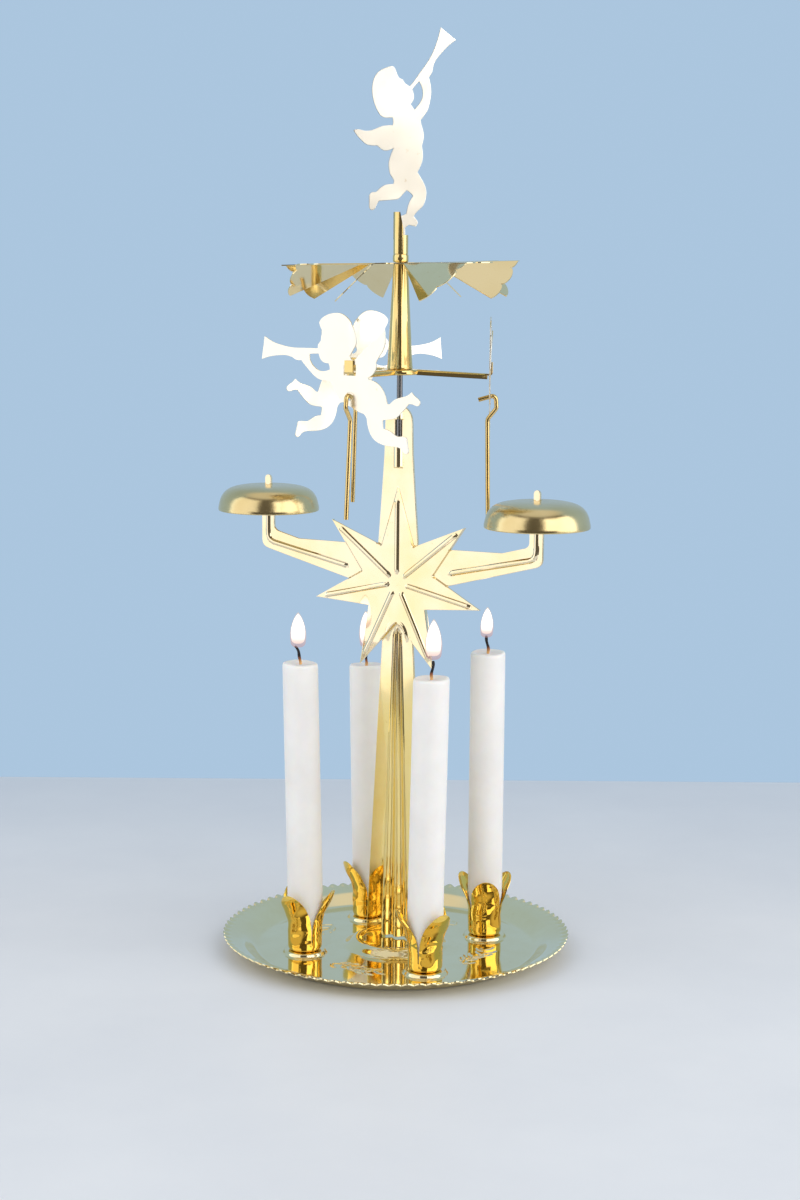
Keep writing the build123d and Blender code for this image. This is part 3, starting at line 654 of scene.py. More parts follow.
def holder_piece(index):
    hx, hy, _ = polar(HOLDER_PCR, HOLDER_AZ[index])
    z0 = LIFT + 1.82
    flare = HOLDER_FLARE[index]
    h_key = [0.0, 0.25, 0.8, 1.6, 5.0, 8.0, 10.0, 11.3, 13.0, 14.6, 16.1, 17.6, 19.0, 20.2, 21.0]
    r_key = [4.9, 5.35, 5.75, 5.88, 5.88, 5.92, 6.1, 6.38, 6.95, 7.65, 8.4, 9.1, 9.6, 9.84, 9.88]
    w_h = [0, 1.9, 3.2, 5.0, 8.0, 10.5, 13.0, 16.0, 17.5, 18.8, 19.8, 20.5, 20.85, 21.0]
    w_v = [9.9, 9.9, 5.98, 5.95, 5.85, 5.8, 5.78, 5.5, 4.9, 4.05, 3.05, 2.0, 1.1, 0.0]
    hs = np.unique(np.concatenate([np.linspace(0, 1.6, 8), np.linspace(1.6, 1.9, 3), np.linspace(1.9, 16.0, 36), 16.0 + 5.0 * np.sin(np.linspace(0, math.pi / 2, 24))]))
    nu = 28
    b = Build()
    verts = []
    row_ids = []
    seed = index * 1.7
    for p in range(3):
        ids = []
        for h in hs:
            rho = float(np.interp(h, h_key, r_key))
            rho_f = 5.9 + (rho - 5.9) * flare if h > 7.5 else rho
            w = min(float(np.interp(h, w_h, w_v)), math.radians(60) * rho)
            phi_e = w / rho if h > 1.9 else math.radians(60)
            row = []
            for j in range(nu + 1):
                u = -1 + 2 * j / nu
                phi = u * phi_e
                q = phi * rho / 5.8
                # petals cup: their edges stay closer to the candle than their middle
                bulge = (rho_f - 5.88) * (1 - 0.16 * q * q) + 5.88 if h > 7.5 else rho_f
                dent = (0.12 * math.sin(0.55 * h + 1.6 * q + seed + p * 2.0) + 0.06 * math.sin(1.25 * h - 3.1 * q + 2 * seed + p)) * smooth01((h - 2.5) / 5)
                r = bulge + dent
                a = math.radians(HOLDER_TURN[index] + 120 * p) + phi
                row.append(len(verts))
                verts.append((hx + r * math.cos(a), hy + r * math.sin(a), z0 + h))
            ids.append(row)
        row_ids.append(ids)
    faces = []
    for ids in row_ids:
        for r1, r2 in zip(ids[:-1], ids[1:]):
            for j in range(nu):
                faces.append((r1[j], r1[j + 1], r2[j + 1], r2[j]))
    # floor of the cup
    centre = len(verts)
    verts.append((hx, hy, z0 + 0.0))
    ring = []
    for ids in row_ids:
        ring += ids[0][:-1]
    for i in range(len(ring)):
        faces.append((centre, ring[(i + 1) % len(ring)], ring[i]))
    me = bpy.data.meshes.new("tmp")
    me.from_pydata(verts, [], faces)
    bm = bmesh.new()
    bm.from_mesh(me)
    bmesh.ops.remove_doubles(bm, verts=bm.verts, dist=2e-3)
    bmesh.ops.dissolve_degenerate(bm, edges=bm.edges, dist=1e-4)
    bmesh.ops.recalc_face_normals(bm, faces=bm.faces)
    bm.normal_update()
    # sheet thickness: an inner skin joined to the outer one along the free edges
    outer = list(bm.verts)
    t = 0.42
    pos = [v.co.copy() for v in outer]
    nrm = [v.normal.copy() for v in outer]
    cen = Vector((hx, hy, z0 + 6))
    outward = sum(1 if (p - cen).dot(n) > 0 else -1 for p, n in zip(pos, nrm)) > 0
    ind = {v: i for i, v in enumerate(outer)}
    fl = [[ind[v] for v in f.verts] for f in bm.faces]
    border = [(ind[e.verts[0]], ind[e.verts[1]]) for e in bm.edges if len(e.link_faces) == 1]
    bm.free()
    bpy.data.meshes.remove(me)
    sgn = -1.0 if outward else 1.0
    n0 = len(pos)
    allv = [tuple(p) for p in pos] + [tuple(p + n * (sgn * t)) for p, n in zip(pos, nrm)]
    allf = [tuple(f) for f in fl] + [tuple(i + n0 for i in reversed(f)) for f in fl]
    mids = {}
    for a, c in border:
        for q in (a, c):
            if q not in mids:
                mids[q] = len(allv)
                m = (Vector(allv[q]) + Vector(allv[q + n0])) / 2
                # a softly rounded rim
                away = Vector((0, 0, 0.10))
                allv.append(tuple(m + away))
        allf.append((a, c, mids[c], mids[a]))
        allf.append((mids[a], mids[c], c + n0, a + n0))
    return add_object(f"cup_{index + 1}", allv, allf, CUPS, "stand", [f"candle_holder_{index + 1}"], angle=55)


for i in range(4):
    holder_piece(i)


# ================================================================ candles, wicks, flames
CANDLE_TOP = (106.5, 97.9, 105.8, 104.9)
CANDLE_LEAN = (0.0, -1.4, -1.7, 1.3)      # how far each candle's top leans to the photo's right, mm
RIGHT = (math.cos(math.radians(VIEW_AZ)), math.sin(math.radians(VIEW_AZ)))
AWAY = (-math.sin(math.radians(VIEW_AZ)), math.cos(math.radians(VIEW_AZ)))
CANDLE_R = 6.1


def leaned(index, verts):
    """Moves the part of a candle above its holder sideways."""
    zt, out = CANDLE_TOP[index], []
    for x, y, z in verts:
        d = CANDLE_LEAN[index] * max(0.0, (z - 27.0) / (zt - 27.0))
        out.append((x + RIGHT[0] * d, y + RIGHT[1] * d, z))
    return out


def candle_piece(index):
    hx, hy, _ = polar(HOLDER_PCR, HOLDER_AZ[index])
    zt = CANDLE_TOP[index]
    zb = LIFT + 3.52
    prof = [(0, zb), (4.6, zb), (5.1, zb + 0.23), (5.28, zb + 0.78), (5.28, zb + 6.08)]
    prof += [(5.28 + 0.80 * smooth01((z - 6.08) / 8.0), zb + z) for z in np.linspace(7.3, 14.2, 8)]
    prof += [(CANDLE_R - 0.02, z) for z in np.linspace(zb + 16.0, zt - 2.4, 46)]
    prof += [(6.06, zt - 1.4), (6.0, zt - 0.8), (5.86, zt - 0.36), (5.62, zt - 0.1), (5.3, zt - 0.02), (4.8, zt - 0.08), (4.0, zt - 0.24), (3.0, zt - 0.46),
             (2.0, zt - 0.66), (1.2, zt - 0.78), (0.75, zt - 0.70), (0.62, zt - 0.55), (0.50, zt - 0.9), (0, zt - 0.9)]
    s = index * 2.3

    def wobble(a, r, z):
        k = 0.5 + 0.5 * math.sin(a * 2 + z * 0.05 + s)
        side = 0.035 * math.sin(a * 3 + 0.03 * z + s) + 0.02 * math.sin(a * 5 - 0.11 * z + 2 * s)
        if z > zt - 2.4:
            lip = smooth01((z - zt + 2.4) / 2.4)
            return (side * (1 - lip) + 0.05 * lip * math.sin(a * 4 + s), lip * (0.22 * math.sin(a + s) + 0.09 * math.sin(a * 3 - s)) * min(1.0, r / 3.0))
        if z < zb + 14.4:
            return (-0.02, 0.0)
        return (side * k - 0.01, 0.0)

    v, f = lathe(prof, 72, (hx, hy), wobble)
    return add_object(f"candle_body_{index + 1}", leaned(index, v), f, WAX, f"candle_{index + 1}", [f"candle_{index + 1}"], angle=60)


WICK_BEND = ((-0.8, 0.0), (0.4, 0.2), (-1.7, -0.1), (0.5, 0.1))   # (photo right, away) lean of each wick's tip, mm


def tube(path, radius, n=16, cap=True):
    """Closed tube along 3-D points, with a radius for each point."""
    P = np.array(path, float)
    v, f = [], []
    T = np.gradient(P, axis=0)
    T /= np.linalg.norm(T, axis=1, keepdims=True)
    ref = np.array([0.31, 0.95, 0.05])
    prev = None
    for i, (p, t) in enumerate(zip(P, T)):
        a = ref - t * np.dot(ref, t) if prev is None else prev - t * np.dot(prev, t)
        a /= np.linalg.norm(a)
        prev = a
        c = np.cross(t, a)
        for k in range(n):
            w = 2 * math.pi * k / n
            v.append(p + radius[i] * (math.cos(w) * a + math.sin(w) * c))
    m = len(P)
    for i in range(m - 1):
        for k in range(n):
            f.append((i * n + k, i * n + (k + 1) % n, (i + 1) * n + (k + 1) % n, (i + 1) * n + k))
    if cap:
        v.append(P[0])
        v.append(P[-1])
        for k in range(n):
            f.append((len(v) - 2, (k + 1) % n, k))
            f.append((len(v) - 1, (m - 1) * n + k, (m - 1) * n + (k + 1) % n))
    return v, f


FLAMES = ((5.0, 15.4, 4.5), (5.8, 18.9, 5.0), (5.2, 16.9, 5.4), (6.0, 19.3, 5.6))    # foot and tip over the candle, width, mm


def wick_and_flame(index):
    hx, hy, _ = polar(HOLDER_PCR, HOLDER_AZ[index])
    zt = CANDLE_TOP[index]
    bx, by = WICK_BEND[index]
    path, rad = [], []
    for k in range(25):
        t = k / 24
        z = zt - 3.2 + 8.9 * t
        g = max(0.0, (z - zt + 0.2) / 5.9)
        lean = g ** (3.0 if index == 2 else 1.7)
        wig = 0.16 * math.sin(7 * g + index)
        dx, dy = bx * lean + wig, by * lean
        path.append((hx + RIGHT[0] * dx + AWAY[0] * dy, hy + RIGHT[1] * dx + AWAY[1] * dy, z))
        rad.append(0.5 * (1 + 0.10 * math.sin(9 * g + index * 2)) * (1.0 if t < 0.9 else 1.0 - 2.8 * (t - 0.9)))
    v, f = tube(path, rad, 14)
    add_object(f"wick_braid_{index + 1}", leaned(index, v), f, WICK, f"candle_{index + 1}", [f"wick_{index + 1}"], angle=60)
    tipx, tipy = path[-5][0], path[-5][1]
    # the flame: a bright drop inside a faint edge, with its root round the wick
    lo, hi, fw = FLAMES[index]
    for name, mat, wide, z0, z1 in (("flame_core", GLOW, fw * 0.46, zt + lo + 1.3, zt + hi), ("flame_rim", HALO, fw * 0.53, zt + lo, zt + hi + 0.5)):
        shape_s = np.linspace(0, 1, 41)
        shape_r = np.minimum(1.0, np.sqrt(np.clip(1 - (1 - shape_s / 0.14).clip(0) ** 2.4, 0, 1))) * np.clip(1 - ((shape_s - 0.34).clip(0) / 0.66) ** 1.9, 0, 1) ** 0.82
        shape_r *= 0.88 + 0.12 * smooth01(shape_s / 0.34)
        prof = []
        m = 40
        for k in range(m + 1):
            s = k / m
            r = wide * float(np.interp(s, shape_s, shape_r)) if 0 < k < m else 0.0
            prof.append((r, z0 + (z1 - z0) * s))
        prof = [(max(r, 0.0), z) for r, z in prof]

        def sway(a, r, z, z0=z0, z1=z1):
            return (0.0, 0.0)

        v, f = lathe(prof + [], 40, (0, 0), sway)
        out = []
        for x, y, z in v:
            s = (z - z0) / (z1 - z0)
            k = smooth01(np.array([s * 1.4]))[0]
            out.append((hx + (tipx - hx) * (1 - 0.45 * s) + x * 0.96, hy + (tipy - hy) * (1 - 0.45 * s) + y * 0.96, z))
        add_object(f"{name}_{index + 1}", leaned(index, out), f, mat, f"candle_{index + 1}", (), angle=80)


for i in range(4):
    candle_piece(i)
    wick_and_flame(i)


# ================================================================ mast with star and bell arms
def mast_piece():
    star = []
    for k in range(14):
        r = 32.5 if k % 2 == 0 else 13.9
        a = math.radians(90 + k * 180 / 7)
        star.append((r * math.cos(a), 132.3 + r * math.sin(a)))
    star = np.array(star)
    right = [
        [(0, 6.6), (11.6, 6.6)], [(11.6, 6.6), (5.95, 111.91)], [(5.95, 111.91), (14.10, 103.02)], [(14.10, 103.02), (10.87, 123.63)],
        [(10.87, 123.63), (31.68, 125.07)], [(31.68, 125.07), (19.03, 132.27)], [(19.03, 132.27), (51.2, 140.65)],
        [(51.2, 140.65), (52.6, 141.2), (53.7, 142.3), (54.05, 143.8)], [(54.05, 143.8), (54.05, 161.9)], [(54.05, 161.9), (53.65, 162.3)],
        [(53.65, 162.3), (52.76, 162.3)], [(52.76, 162.3), (52.76, 165.45)], [(52.76, 165.45), (52.4, 166.35), (51.55, 166.7), (50.70, 166.35), (50.34, 165.45)],
        [(50.34, 165.45), (50.34, 162.3)], [(50.34, 162.3), (49.45, 162.3)], [(49.45, 162.3), (49.05, 161.9)], [(49.05, 161.9), (49.05, 149.0)],
        [(49.05, 149.0), (48.75, 148.0), (47.7, 147.15)], [(47.7, 147.15), (39.1, 144.9)], [(39.1, 144.9), (20.05, 144.78)],
        [(20.05, 144.78), (25.41, 152.56)], [(25.41, 152.56), (7.62, 145.45)], [(7.62, 145.45), (6.2, 165.5)], [(6.2, 165.5), (5.5, 176.0)],
        [(5.5, 176.0), (5.2, 186.6)], [(5.2, 186.6), (4.75, 189.4), (3.2, 191.6), (1.6, 192.5), (0, 192.75)],
    ]
    left = [[(-x, z) for x, z in reversed(seg)] for seg in reversed(right)]
    outer = outline(right + left, 0.42)

    inner_edges = [((0, 164.8), (6.03, 144.82)), ((6.03, 144.82), (7.62, 145.45)), ((20.05, 144.78), (13.55, 135.39)), ((13.55, 135.39), (19.03, 132.27)),
                   ((0, 118.4), (5.95, 111.91))]
    inner_edges += [((-a[0], a[1]), (-b[0], b[1])) for a, b in inner_edges]
    beads = []
    for k in range(7):
        a = math.radians(90 + k * 360 / 7)
        beads.append(((4.4 * math.cos(a), 132.3 + 4.4 * math.sin(a)), (27.6 * math.cos(a), 132.3 + 27.6 * math.sin(a))))
    arm_line = [(20.6, 136.9), (49.2, 143.05), (50.6, 143.7), (51.3, 144.9), (51.55, 146.5), (51.55, 161.2)]
    arm_segs = list(zip(arm_line[:-1], arm_line[1:]))
    arm_segs += [((-a[0], a[1]), (-b[0], b[1])) for a, b in arm_segs]

    def height(X, Z):
        X, Z = np.asarray(X, float), np.asarray(Z, float)
        d = np.full(X.shape, 99.0)
        for a, b in inner_edges:
            d = np.minimum(d, seg_dist(X, Z, a, b))
        ins = inside(np.stack([X, Z], 1), star)
        sd = np.where(ins, d, -d)
        h = 0.85 * np.where(X > 0, np.clip((sd + 0.16) / 0.32, 0, 1), smooth01((sd + 0.36) / 0.72))
        # each star point carries a long pressed bead
        db = np.full(X.shape, 99.0)
        for a, b in beads:
            db = np.minimum(db, seg_dist(X, Z, a, b))
        h += 0.50 * np.clip(1 - (db / 0.95) ** 2, 0, 1)
        # bead along the arms and up the posts
        da = np.full(X.shape, 99.0)
        for a, b in arm_segs:
            da = np.minimum(da, seg_dist(X, Z, a, b))
        h += 0.60 * np.clip(1 - (da / 0.98) ** 2, 0, 1)
        # the lower mast: a low raised band with twin round grooves that spread downwards, under an arch at the star
        W = np.interp(Z, [6.6, 40.0, 80.0, 118.0], [9.6, 7.6, 5.4, 3.0])
        fade = smooth01((117.0 - np.abs(X) * 1.1 - Z) / 1.6)
        e = np.abs(X) / (W * 0.5)
        press = 0.30 * smooth01((1.12 - e) / 0.12) - (0.55 + 0.12 * W) * np.sin(math.pi * np.clip(e, 0, 1)) ** 2
        h += np.where(Z < 119, fade * press, 0)
        arch = np.hypot(X / 1.0, (Z - 112.5) / 1.55)
        h += np.where((Z > 111) & (Z < 124), 0.30 * np.exp(-((arch - 3.75) / 0.55) ** 2) * smooth01((Z - 111.3) / 4.0), 0)
        # needle pocket: straps pressed to the front, a window between them
        bulge = np.sqrt(np.clip(1.75 ** 2 - X ** 2, 0, None))
        groove = 1.2 * np.sqrt(np.clip(1 - (X / 1.3) ** 2, 0, None))
        front = ((Z > 171.4) & (Z < 182.1)) | ((Z > 188.1) & (Z < 192.2))
        back = (Z >= 182.4) & (Z <= 187.8)
        round_end = smooth01((Z - 171.2) / 0.7)
        h += np.where(front, bulge * np.where(Z < 173, round_end, 1.0), 0) - np.where(back, groove, 0)
        # sheet never quite flat
        h += 0.05 * np.sin(0.11 * Z + 0.2 * X) + 0.03 * np.sin(0.31 * X - 0.07 * Z)
        return h

    base = lattice((-55, 4), (55, 194), 1.1)
    fine = lattice((-55, 4), (55, 194), 0.27)
    X, Z = fine[:, 0], fine[:, 1]
    want = np.zeros(len(fine), bool)
    shaped = np.zeros(len(fine), bool)
    rows = []
    for segs, offsets, reach in ((inner_edges[:5], (0.16, 0.38, 0.60), 0.75), (inner_edges[5:], (0, 0.19, 0.38, 0.58), 0.75), (beads, (0, 0.2, 0.4, 0.6, 0.8, 0.95, 1.12), 1.3),
                                 (arm_segs, (0, 0.2, 0.41, 0.62, 0.82, 0.98, 1.15), 1.35)):
        for a, b in segs:
            a, b = np.array(a), np.array(b)
            length = np.linalg.norm(b - a)
            u = (b - a) / length
            w = np.array((-u[1], u[0]))
            ext = 0.85 if segs is beads or segs is arm_segs else 0.0
            ts = np.linspace(-ext, length + ext, max(3, int((length + 2 * ext) / 0.5)))
            for o in offsets:
                for sgn in ((1,) if o == 0 else (1, -1)):
                    rows.append(a + ts[:, None] * u + sgn * o * w)
            shaped |= seg_dist(X, Z, a, b) < reach
    W = np.interp(Z, [6.6, 40.0, 80.0, 118.0], [9.6, 7.6, 5.4, 3.0])
    want |= (np.abs(X) < 6.2) & (Z > 109) & (Z < 121)
    want &= ~((np.abs(X) < W * 0.60 + 0.12) & (Z < 118.3))
    zs = np.concatenate([np.arange(7.2, 108.0, 1.05), np.arange(108.0, 118.2, 0.35)])
    ribs = []
    for c in (0.0, 0.04, 0.09, 0.14, 0.19, 0.25, 0.31, 0.36, 0.41, 0.46, 0.50, 0.53, 0.56, 0.60):
        for sgn in ((1,) if c == 0 else (1, -1)):
            ribs.append(np.stack([sgn * c * np.interp(zs, [6.6, 40.0, 80.0, 118.0], [9.6, 7.6, 5.4, 3.0]), zs], 1))
    ribs = np.concatenate(ribs)
    want |= (np.abs(X) < 2.4) & (Z > 170.6) & (Z < 193)
    fine = fine[want & ~shaped]
    rows = np.concatenate(rows)
    key, pick = {}, []
    for i, q in enumerate(rows):
        c = (int(round(q[0] / 0.1)), int(round(q[1] / 0.1)))
        if c not in key:
            key[c] = i
            pick.append(i)
    fine = np.concatenate([fine, rows[pick], ribs])
    coarse_ok = ~((np.abs(base[:, 0]) < 0.60 * np.interp(base[:, 1], [6.6, 40.0, 80.0, 118.0], [9.6, 7.6, 5.4, 3.0]) + 0.3) & (base[:, 1] < 118.6))
    grid_key = set((int(round(p[0] / 0.8)), int(round(p[1] / 0.8))) for p in fine)
    for i, p in enumerate(base):
        if (int(round(p[0] / 0.8)), int(round(p[1] / 0.8))) in grid_key:
            coarse_ok[i] = False
    grid = np.concatenate([base[coarse_ok], fine])

    def place(x, z, depth):
        return (x, -depth, z)

    v, f = formed_sheet(outer, [], 1.0, 0.14, grid, height, place)
    b = Build()
    b.add(v, f)
    # the two feet, bent over under the plate
    for sx in (-1, 1):
        path = [(0, 7.4), (0, 5.9), (0.05 * sx, 5.3), (0.35 * sx, 4.95), (0.9 * sx, 4.9), (3.5 * sx, 4.9)]
        path = rounded(path, 0.5, 3, closed=False)
        P = np.array(path)
        T = np.gradient(P, axis=0)
        T /= np.linalg.norm(T, axis=1, keepdims=True)
        N = np.stack([-T[:, 1], T[:, 0]], 1)
        vv, ff = [], []
        for p, nn in zip(P, N):
            for ex, en in ((-1.8, -0.5), (1.8, -0.5), (1.8, 0.5), (-1.8, 0.5)):
                q = p + nn * en * 0.92
                vv.append((sx * 7.0 + ex, q[0], q[1]))
        m = len(P)
        for i in range(m - 1):
            for k in range(4):
                ff.append((i * 4 + k, i * 4 + (k + 1) % 4, (i + 1) * 4 + (k + 1) % 4, (i + 1) * 4 + k))
        ff.append((3, 2, 1, 0))
        ff.append(tuple((m - 1) * 4 + k for k in range(4)))
        b.add(vv, ff)
    return add_object("mast_stamping", b.v, b.f, SHEET, "stand", ["mast"], angle=42)


mast_piece()


# ================================================================ bells
def bell_piece(name, cx, mat):
    top = 163.25
    out_seg = [(1.5, top), (4.0, top - 0.05), (7.0, top - 0.17), (11.0, top - 0.66), (14.4, top - 1.85), (16.3, top - 3.75), (17.2, top - 5.9), (17.5, 155.9)]
    in_seg = [(16.95, 154.9), (16.55, top - 6.2), (15.7, top - 4.1), (13.9, top - 2.4), (10.7, top - 1.3), (6.9, top - 0.87), (1.5, top - 0.7)]
    prof = [tuple(p) for p in curve_points(out_seg, 0.45)]
    prof += [(17.60, 155.6), (17.66, 155.3), (17.68, 154.9), (17.67, 154.48), (17.65, 154.28), (17.55, 154.17), (17.3, 154.14), (17.06, 154.17), (16.96, 154.28), (16.94, 154.48)]
    prof += [tuple(p) for p in curve_points(in_seg, 0.6)]
    prof += [(1.5, top - 0.7), (1.42, top - 0.6), (1.42, top - 0.1)]
    v, f = lathe(prof, 144, (cx, 0.0))
    add_object(name, v, f, mat, name.replace("_dome", ""), [name.replace("_dome", "")], angle=50)


bell_piece("bell_left_dome", -51.55, BELL_L)
bell_piece("bell_right_dome", 51.55, BELL_R)


# ================================================================ rotor: hub, collar, fan wheel
def hub_piece():
    prof = rounded([(3.72, 205.02), (4.34, 205.02), (4.36, 205.7), (4.22, 206.3), (2.52, 239.4), (2.45, 240.08), (1.88, 240.08), (1.88, 247.4), (0.9, 247.4),
                    (0.9, 236.2), (1.62, 236.2), (1.62, 229.6), (2.3, 229.6)], [0.2, 0.25, 0.3, 0.8, 0.4, 0.2, 0.05, 0.2, 0.1, 0.05, 0.05, 0.1, 0.3], 4)
    v, f = lathe(prof, 96)
    add_object("hub_tube", v, f, TURNED, "rotor", ["hub_cone"], angle=40)
    prof = rounded([(1.93, 240.62), (2.46, 240.62), (2.66, 241.1), (2.66, 242.7), (2.46, 243.36), (1.93, 243.36)], [0.08, 0.3, 0.4, 0.4, 0.3, 0.08], 4)
    v, f = lathe(prof, 80)
    add_object("collar_ring", v, f, TURNED, "rotor", ["hub_collar"], angle=40)


hub_piece()


def fan_piece():
    z_mid, t, fold, rb = 240.35, 0.40, 8.5, 0.8
    lead, trail, disc = 3.3, 41.2, 12.7

    def lobes(u):
        # four round lobes with narrow notches between them
        marks = [-0.12, 0.20, 0.48, 0.76, 1.04]
        for a, c in zip(marks[:-1], marks[1:]):
            if a <= u <= c:
                q = (u - a) / (c - a)
                return 38.3 + 1.65 * math.sqrt(max(0.0, math.sin(math.pi * q)))
        return 38.3

    pts = []
    for k in range(8):
        az = 27.5 + 45 * k
        a0, a1 = az - trail, az + lead
        for r in np.linspace(disc, lobes(1.0), 56)[:-1]:
            pts.append((r * math.cos(math.radians(a0)), r * math.sin(math.radians(a0))))
        for q in np.linspace(0, 1, 76):
            a = math.radians(a0 + (a1 - a0) * q)
            r = lobes(1 - q)
            pts.append((r * math.cos(a), r * math.sin(a)))
        for r in np.linspace(lobes(0.0), disc, 56)[1:]:
            pts.append((r * math.cos(math.radians(a1)), r * math.sin(math.radians(a1))))
    outer = np.array(pts)
    hole = circle(0, 0, 1.95, 40)
    grid = [lattice((-40, -40), (40, 40), 1.25)]
    keep = np.ones(len(grid[0]), bool)
    for k in range(8):
        d = math.radians(27.5 + 45 * k)
        c, s = math.cos(d), math.sin(d)
        lx, ly = grid[0][:, 0] * c + grid[0][:, 1] * s, -grid[0][:, 0] * s + grid[0][:, 1] * c
        keep &= ~((lx > 9.0) & (lx < 40) & (ly < -fold + 0.7) & (ly > -fold - 1.4))
        for off in (0.35, 0.0, -0.16, -0.32, -0.48, -0.62, -0.95):
            xs = np.linspace(10.4, 38.6, 42)
            ly = np.full(len(xs), -fold + off)
            ok = np.degrees(np.arctan2(-ly, xs)) < trail - 0.6
            grid.append(np.stack([xs * c - ly * s, xs * s + ly * c], 1)[ok])
    grid[0] = grid[0][keep]
    grid = np.concatenate(grid)
    lean = math.radians(1.3)

    def place(x, y, depth):
        r = math.hypot(x, y)
        th = math.degrees(math.atan2(y, x))
        k = math.floor((th - 27.5 + trail + 0.25) / 45.0)
        d = math.radians(27.5 + 45 * k)
        c, s = math.cos(d), math.sin(d)
        lx, ly = x * c + y * s, -x * s + y * c
        e = -fold - ly
        nx, nz, drop = 0.0, 1.0, 0.0
        if e > 0 and r > disc - 0.3:
            L = rb * math.radians(37.0 if k % 8 == 5 else 44.0)
            w = min(e, L) / rb
            lat, drop = rb * math.sin(w), rb * (1 - math.cos(w))
            if e > L:
                lat, drop = lat + (e - L) * math.cos(w), drop + (e - L) * math.sin(w)
            ly = -fold - lat
            nx, nz = math.sin(w), math.cos(w)
        else:
            drop = -0.010 * max(0.0, r - 20) * math.sin(k * 1.9 + 0.4)      # each blade is bent a little differently
        if e > 0:
            drop -= 0.010 * max(0.0, r - 20) * math.sin(k * 1.9 + 0.4)
        ly -= nx * depth
        z = -drop + nz * depth
        px, py = lx * c - ly * s, lx * s + ly * c
        rho = px * RIGHT[0] + py * RIGHT[1]
        return (px, py, z_mid + z + rho * math.tan(lean))

    def level(X, Z):
        return np.zeros(len(np.asarray(X)))

    v, f = formed_sheet(outer, [hole], t, 0.07, grid, level, place)
    return add_object("fan_wheel", v, f, FAN, "rotor", ["impeller"], angle=22)


fan_piece()


# ================================================================ angel carrier
ARM_DROOP = (1.3, 0.0, 0.0)         # how far the end of each arm hangs below its root
FIGURE_PITCH = (0.0, 3.0, 0.0)      # trumpet end down, degrees


def carrier_piece():
    b = Build()
    ring = rounded([(3.02, 203.12), (6.3, 203.12), (6.3, 204.98), (3.02, 204.98)], [0.2, 0.5, 0.7, 0.2], 4)
    b.add(*lathe(ring, 80))
    for az, droop in zip((25.2, 148.5, 265.2), ARM_DROOP):
        sb = droop / 25.4
        cb = math.sqrt(1 - sb * sb)
        # arm: an inverted channel with a round back
        sect = [(-1.8, 203.12), (-1.8, 204.2), (-1.62, 204.66), (-1.2, 204.93), (-0.6, 204.99), (0.6, 204.99), (1.2, 204.93), (1.62, 204.66), (1.8, 204.2), (1.8, 203.12),
                (1.25, 203.12), (1.25, 203.95), (1.05, 204.3), (0.6, 204.42), (-0.6, 204.42), (-1.05, 204.3), (-1.25, 203.95), (-1.25, 203.12)]
        xs = [4.6, 8.0, 14.0, 20.0, 25.5, 27.0, 28.4, 29.6]
        scale = [1, 1, 1, 1, 1, 0.99, 0.97, 0.95]
        vv, ff = [], []
        n = len(sect)
        for x, s in zip(xs, scale):
            for y, z in sect:
                vv.append((5.0 + (x - 5.0) * cb + (z - 204.0) * sb, y * s, 204.0 - (x - 5.0) * sb + (z - 204.0) * cb))
        for i in range(len(xs) - 1):
            for k in range(n):
                ff.append((i * n + k, i * n + (k + 1) % n, (i + 1) * n + (k + 1) % n, (i + 1) * n + k))
        ff.append(tuple(range(n))[::-1])
        ff.append(tuple((len(xs) - 1) * n + k for k in range(n)))
        b.add(spin(vv, az), ff)
        # tab: goes through the figure's slot and is bent up
        path = rounded([(28.6, 204.7), (31.05, 204.7), (31.05, 208.9)], 0.75, 5, closed=False)
        P = np.array(path)
        T = np.gradient(P, axis=0)
        T /= np.linalg.norm(T, axis=1, keepdims=True)
        N = np.stack([-T[:, 1], T[:, 0]], 1)
        vv, ff = [], []
        for p, nn in zip(P, N):
            for w, e in ((-1.7, -0.2), (-1.62, -0.28), (1.62, -0.28), (1.7, -0.2), (1.7, 0.2), (1.62, 0.28), (-1.62, 0.28), (-1.7, 0.2)):
                q = p + nn * e
                vv.append((q[0], w, q[1] - droop))
        m = len(P)
        for i in range(m - 1):
            for k in range(8):
                ff.append((i * 8 + k, i * 8 + (k + 1) % 8, (i + 1) * 8 + (k + 1) % 8, (i + 1) * 8 + k))
        ff.append(tuple(range(8))[::-1])
        ff.append(tuple((m - 1) * 8 + k for k in range(8)))
        b.add(spin(vv, az), ff)
    return add_object("carrier_arms", b.v, b.f, TURNED, "rotor", ["angel_carrier"], angle=40)


carrier_piece()


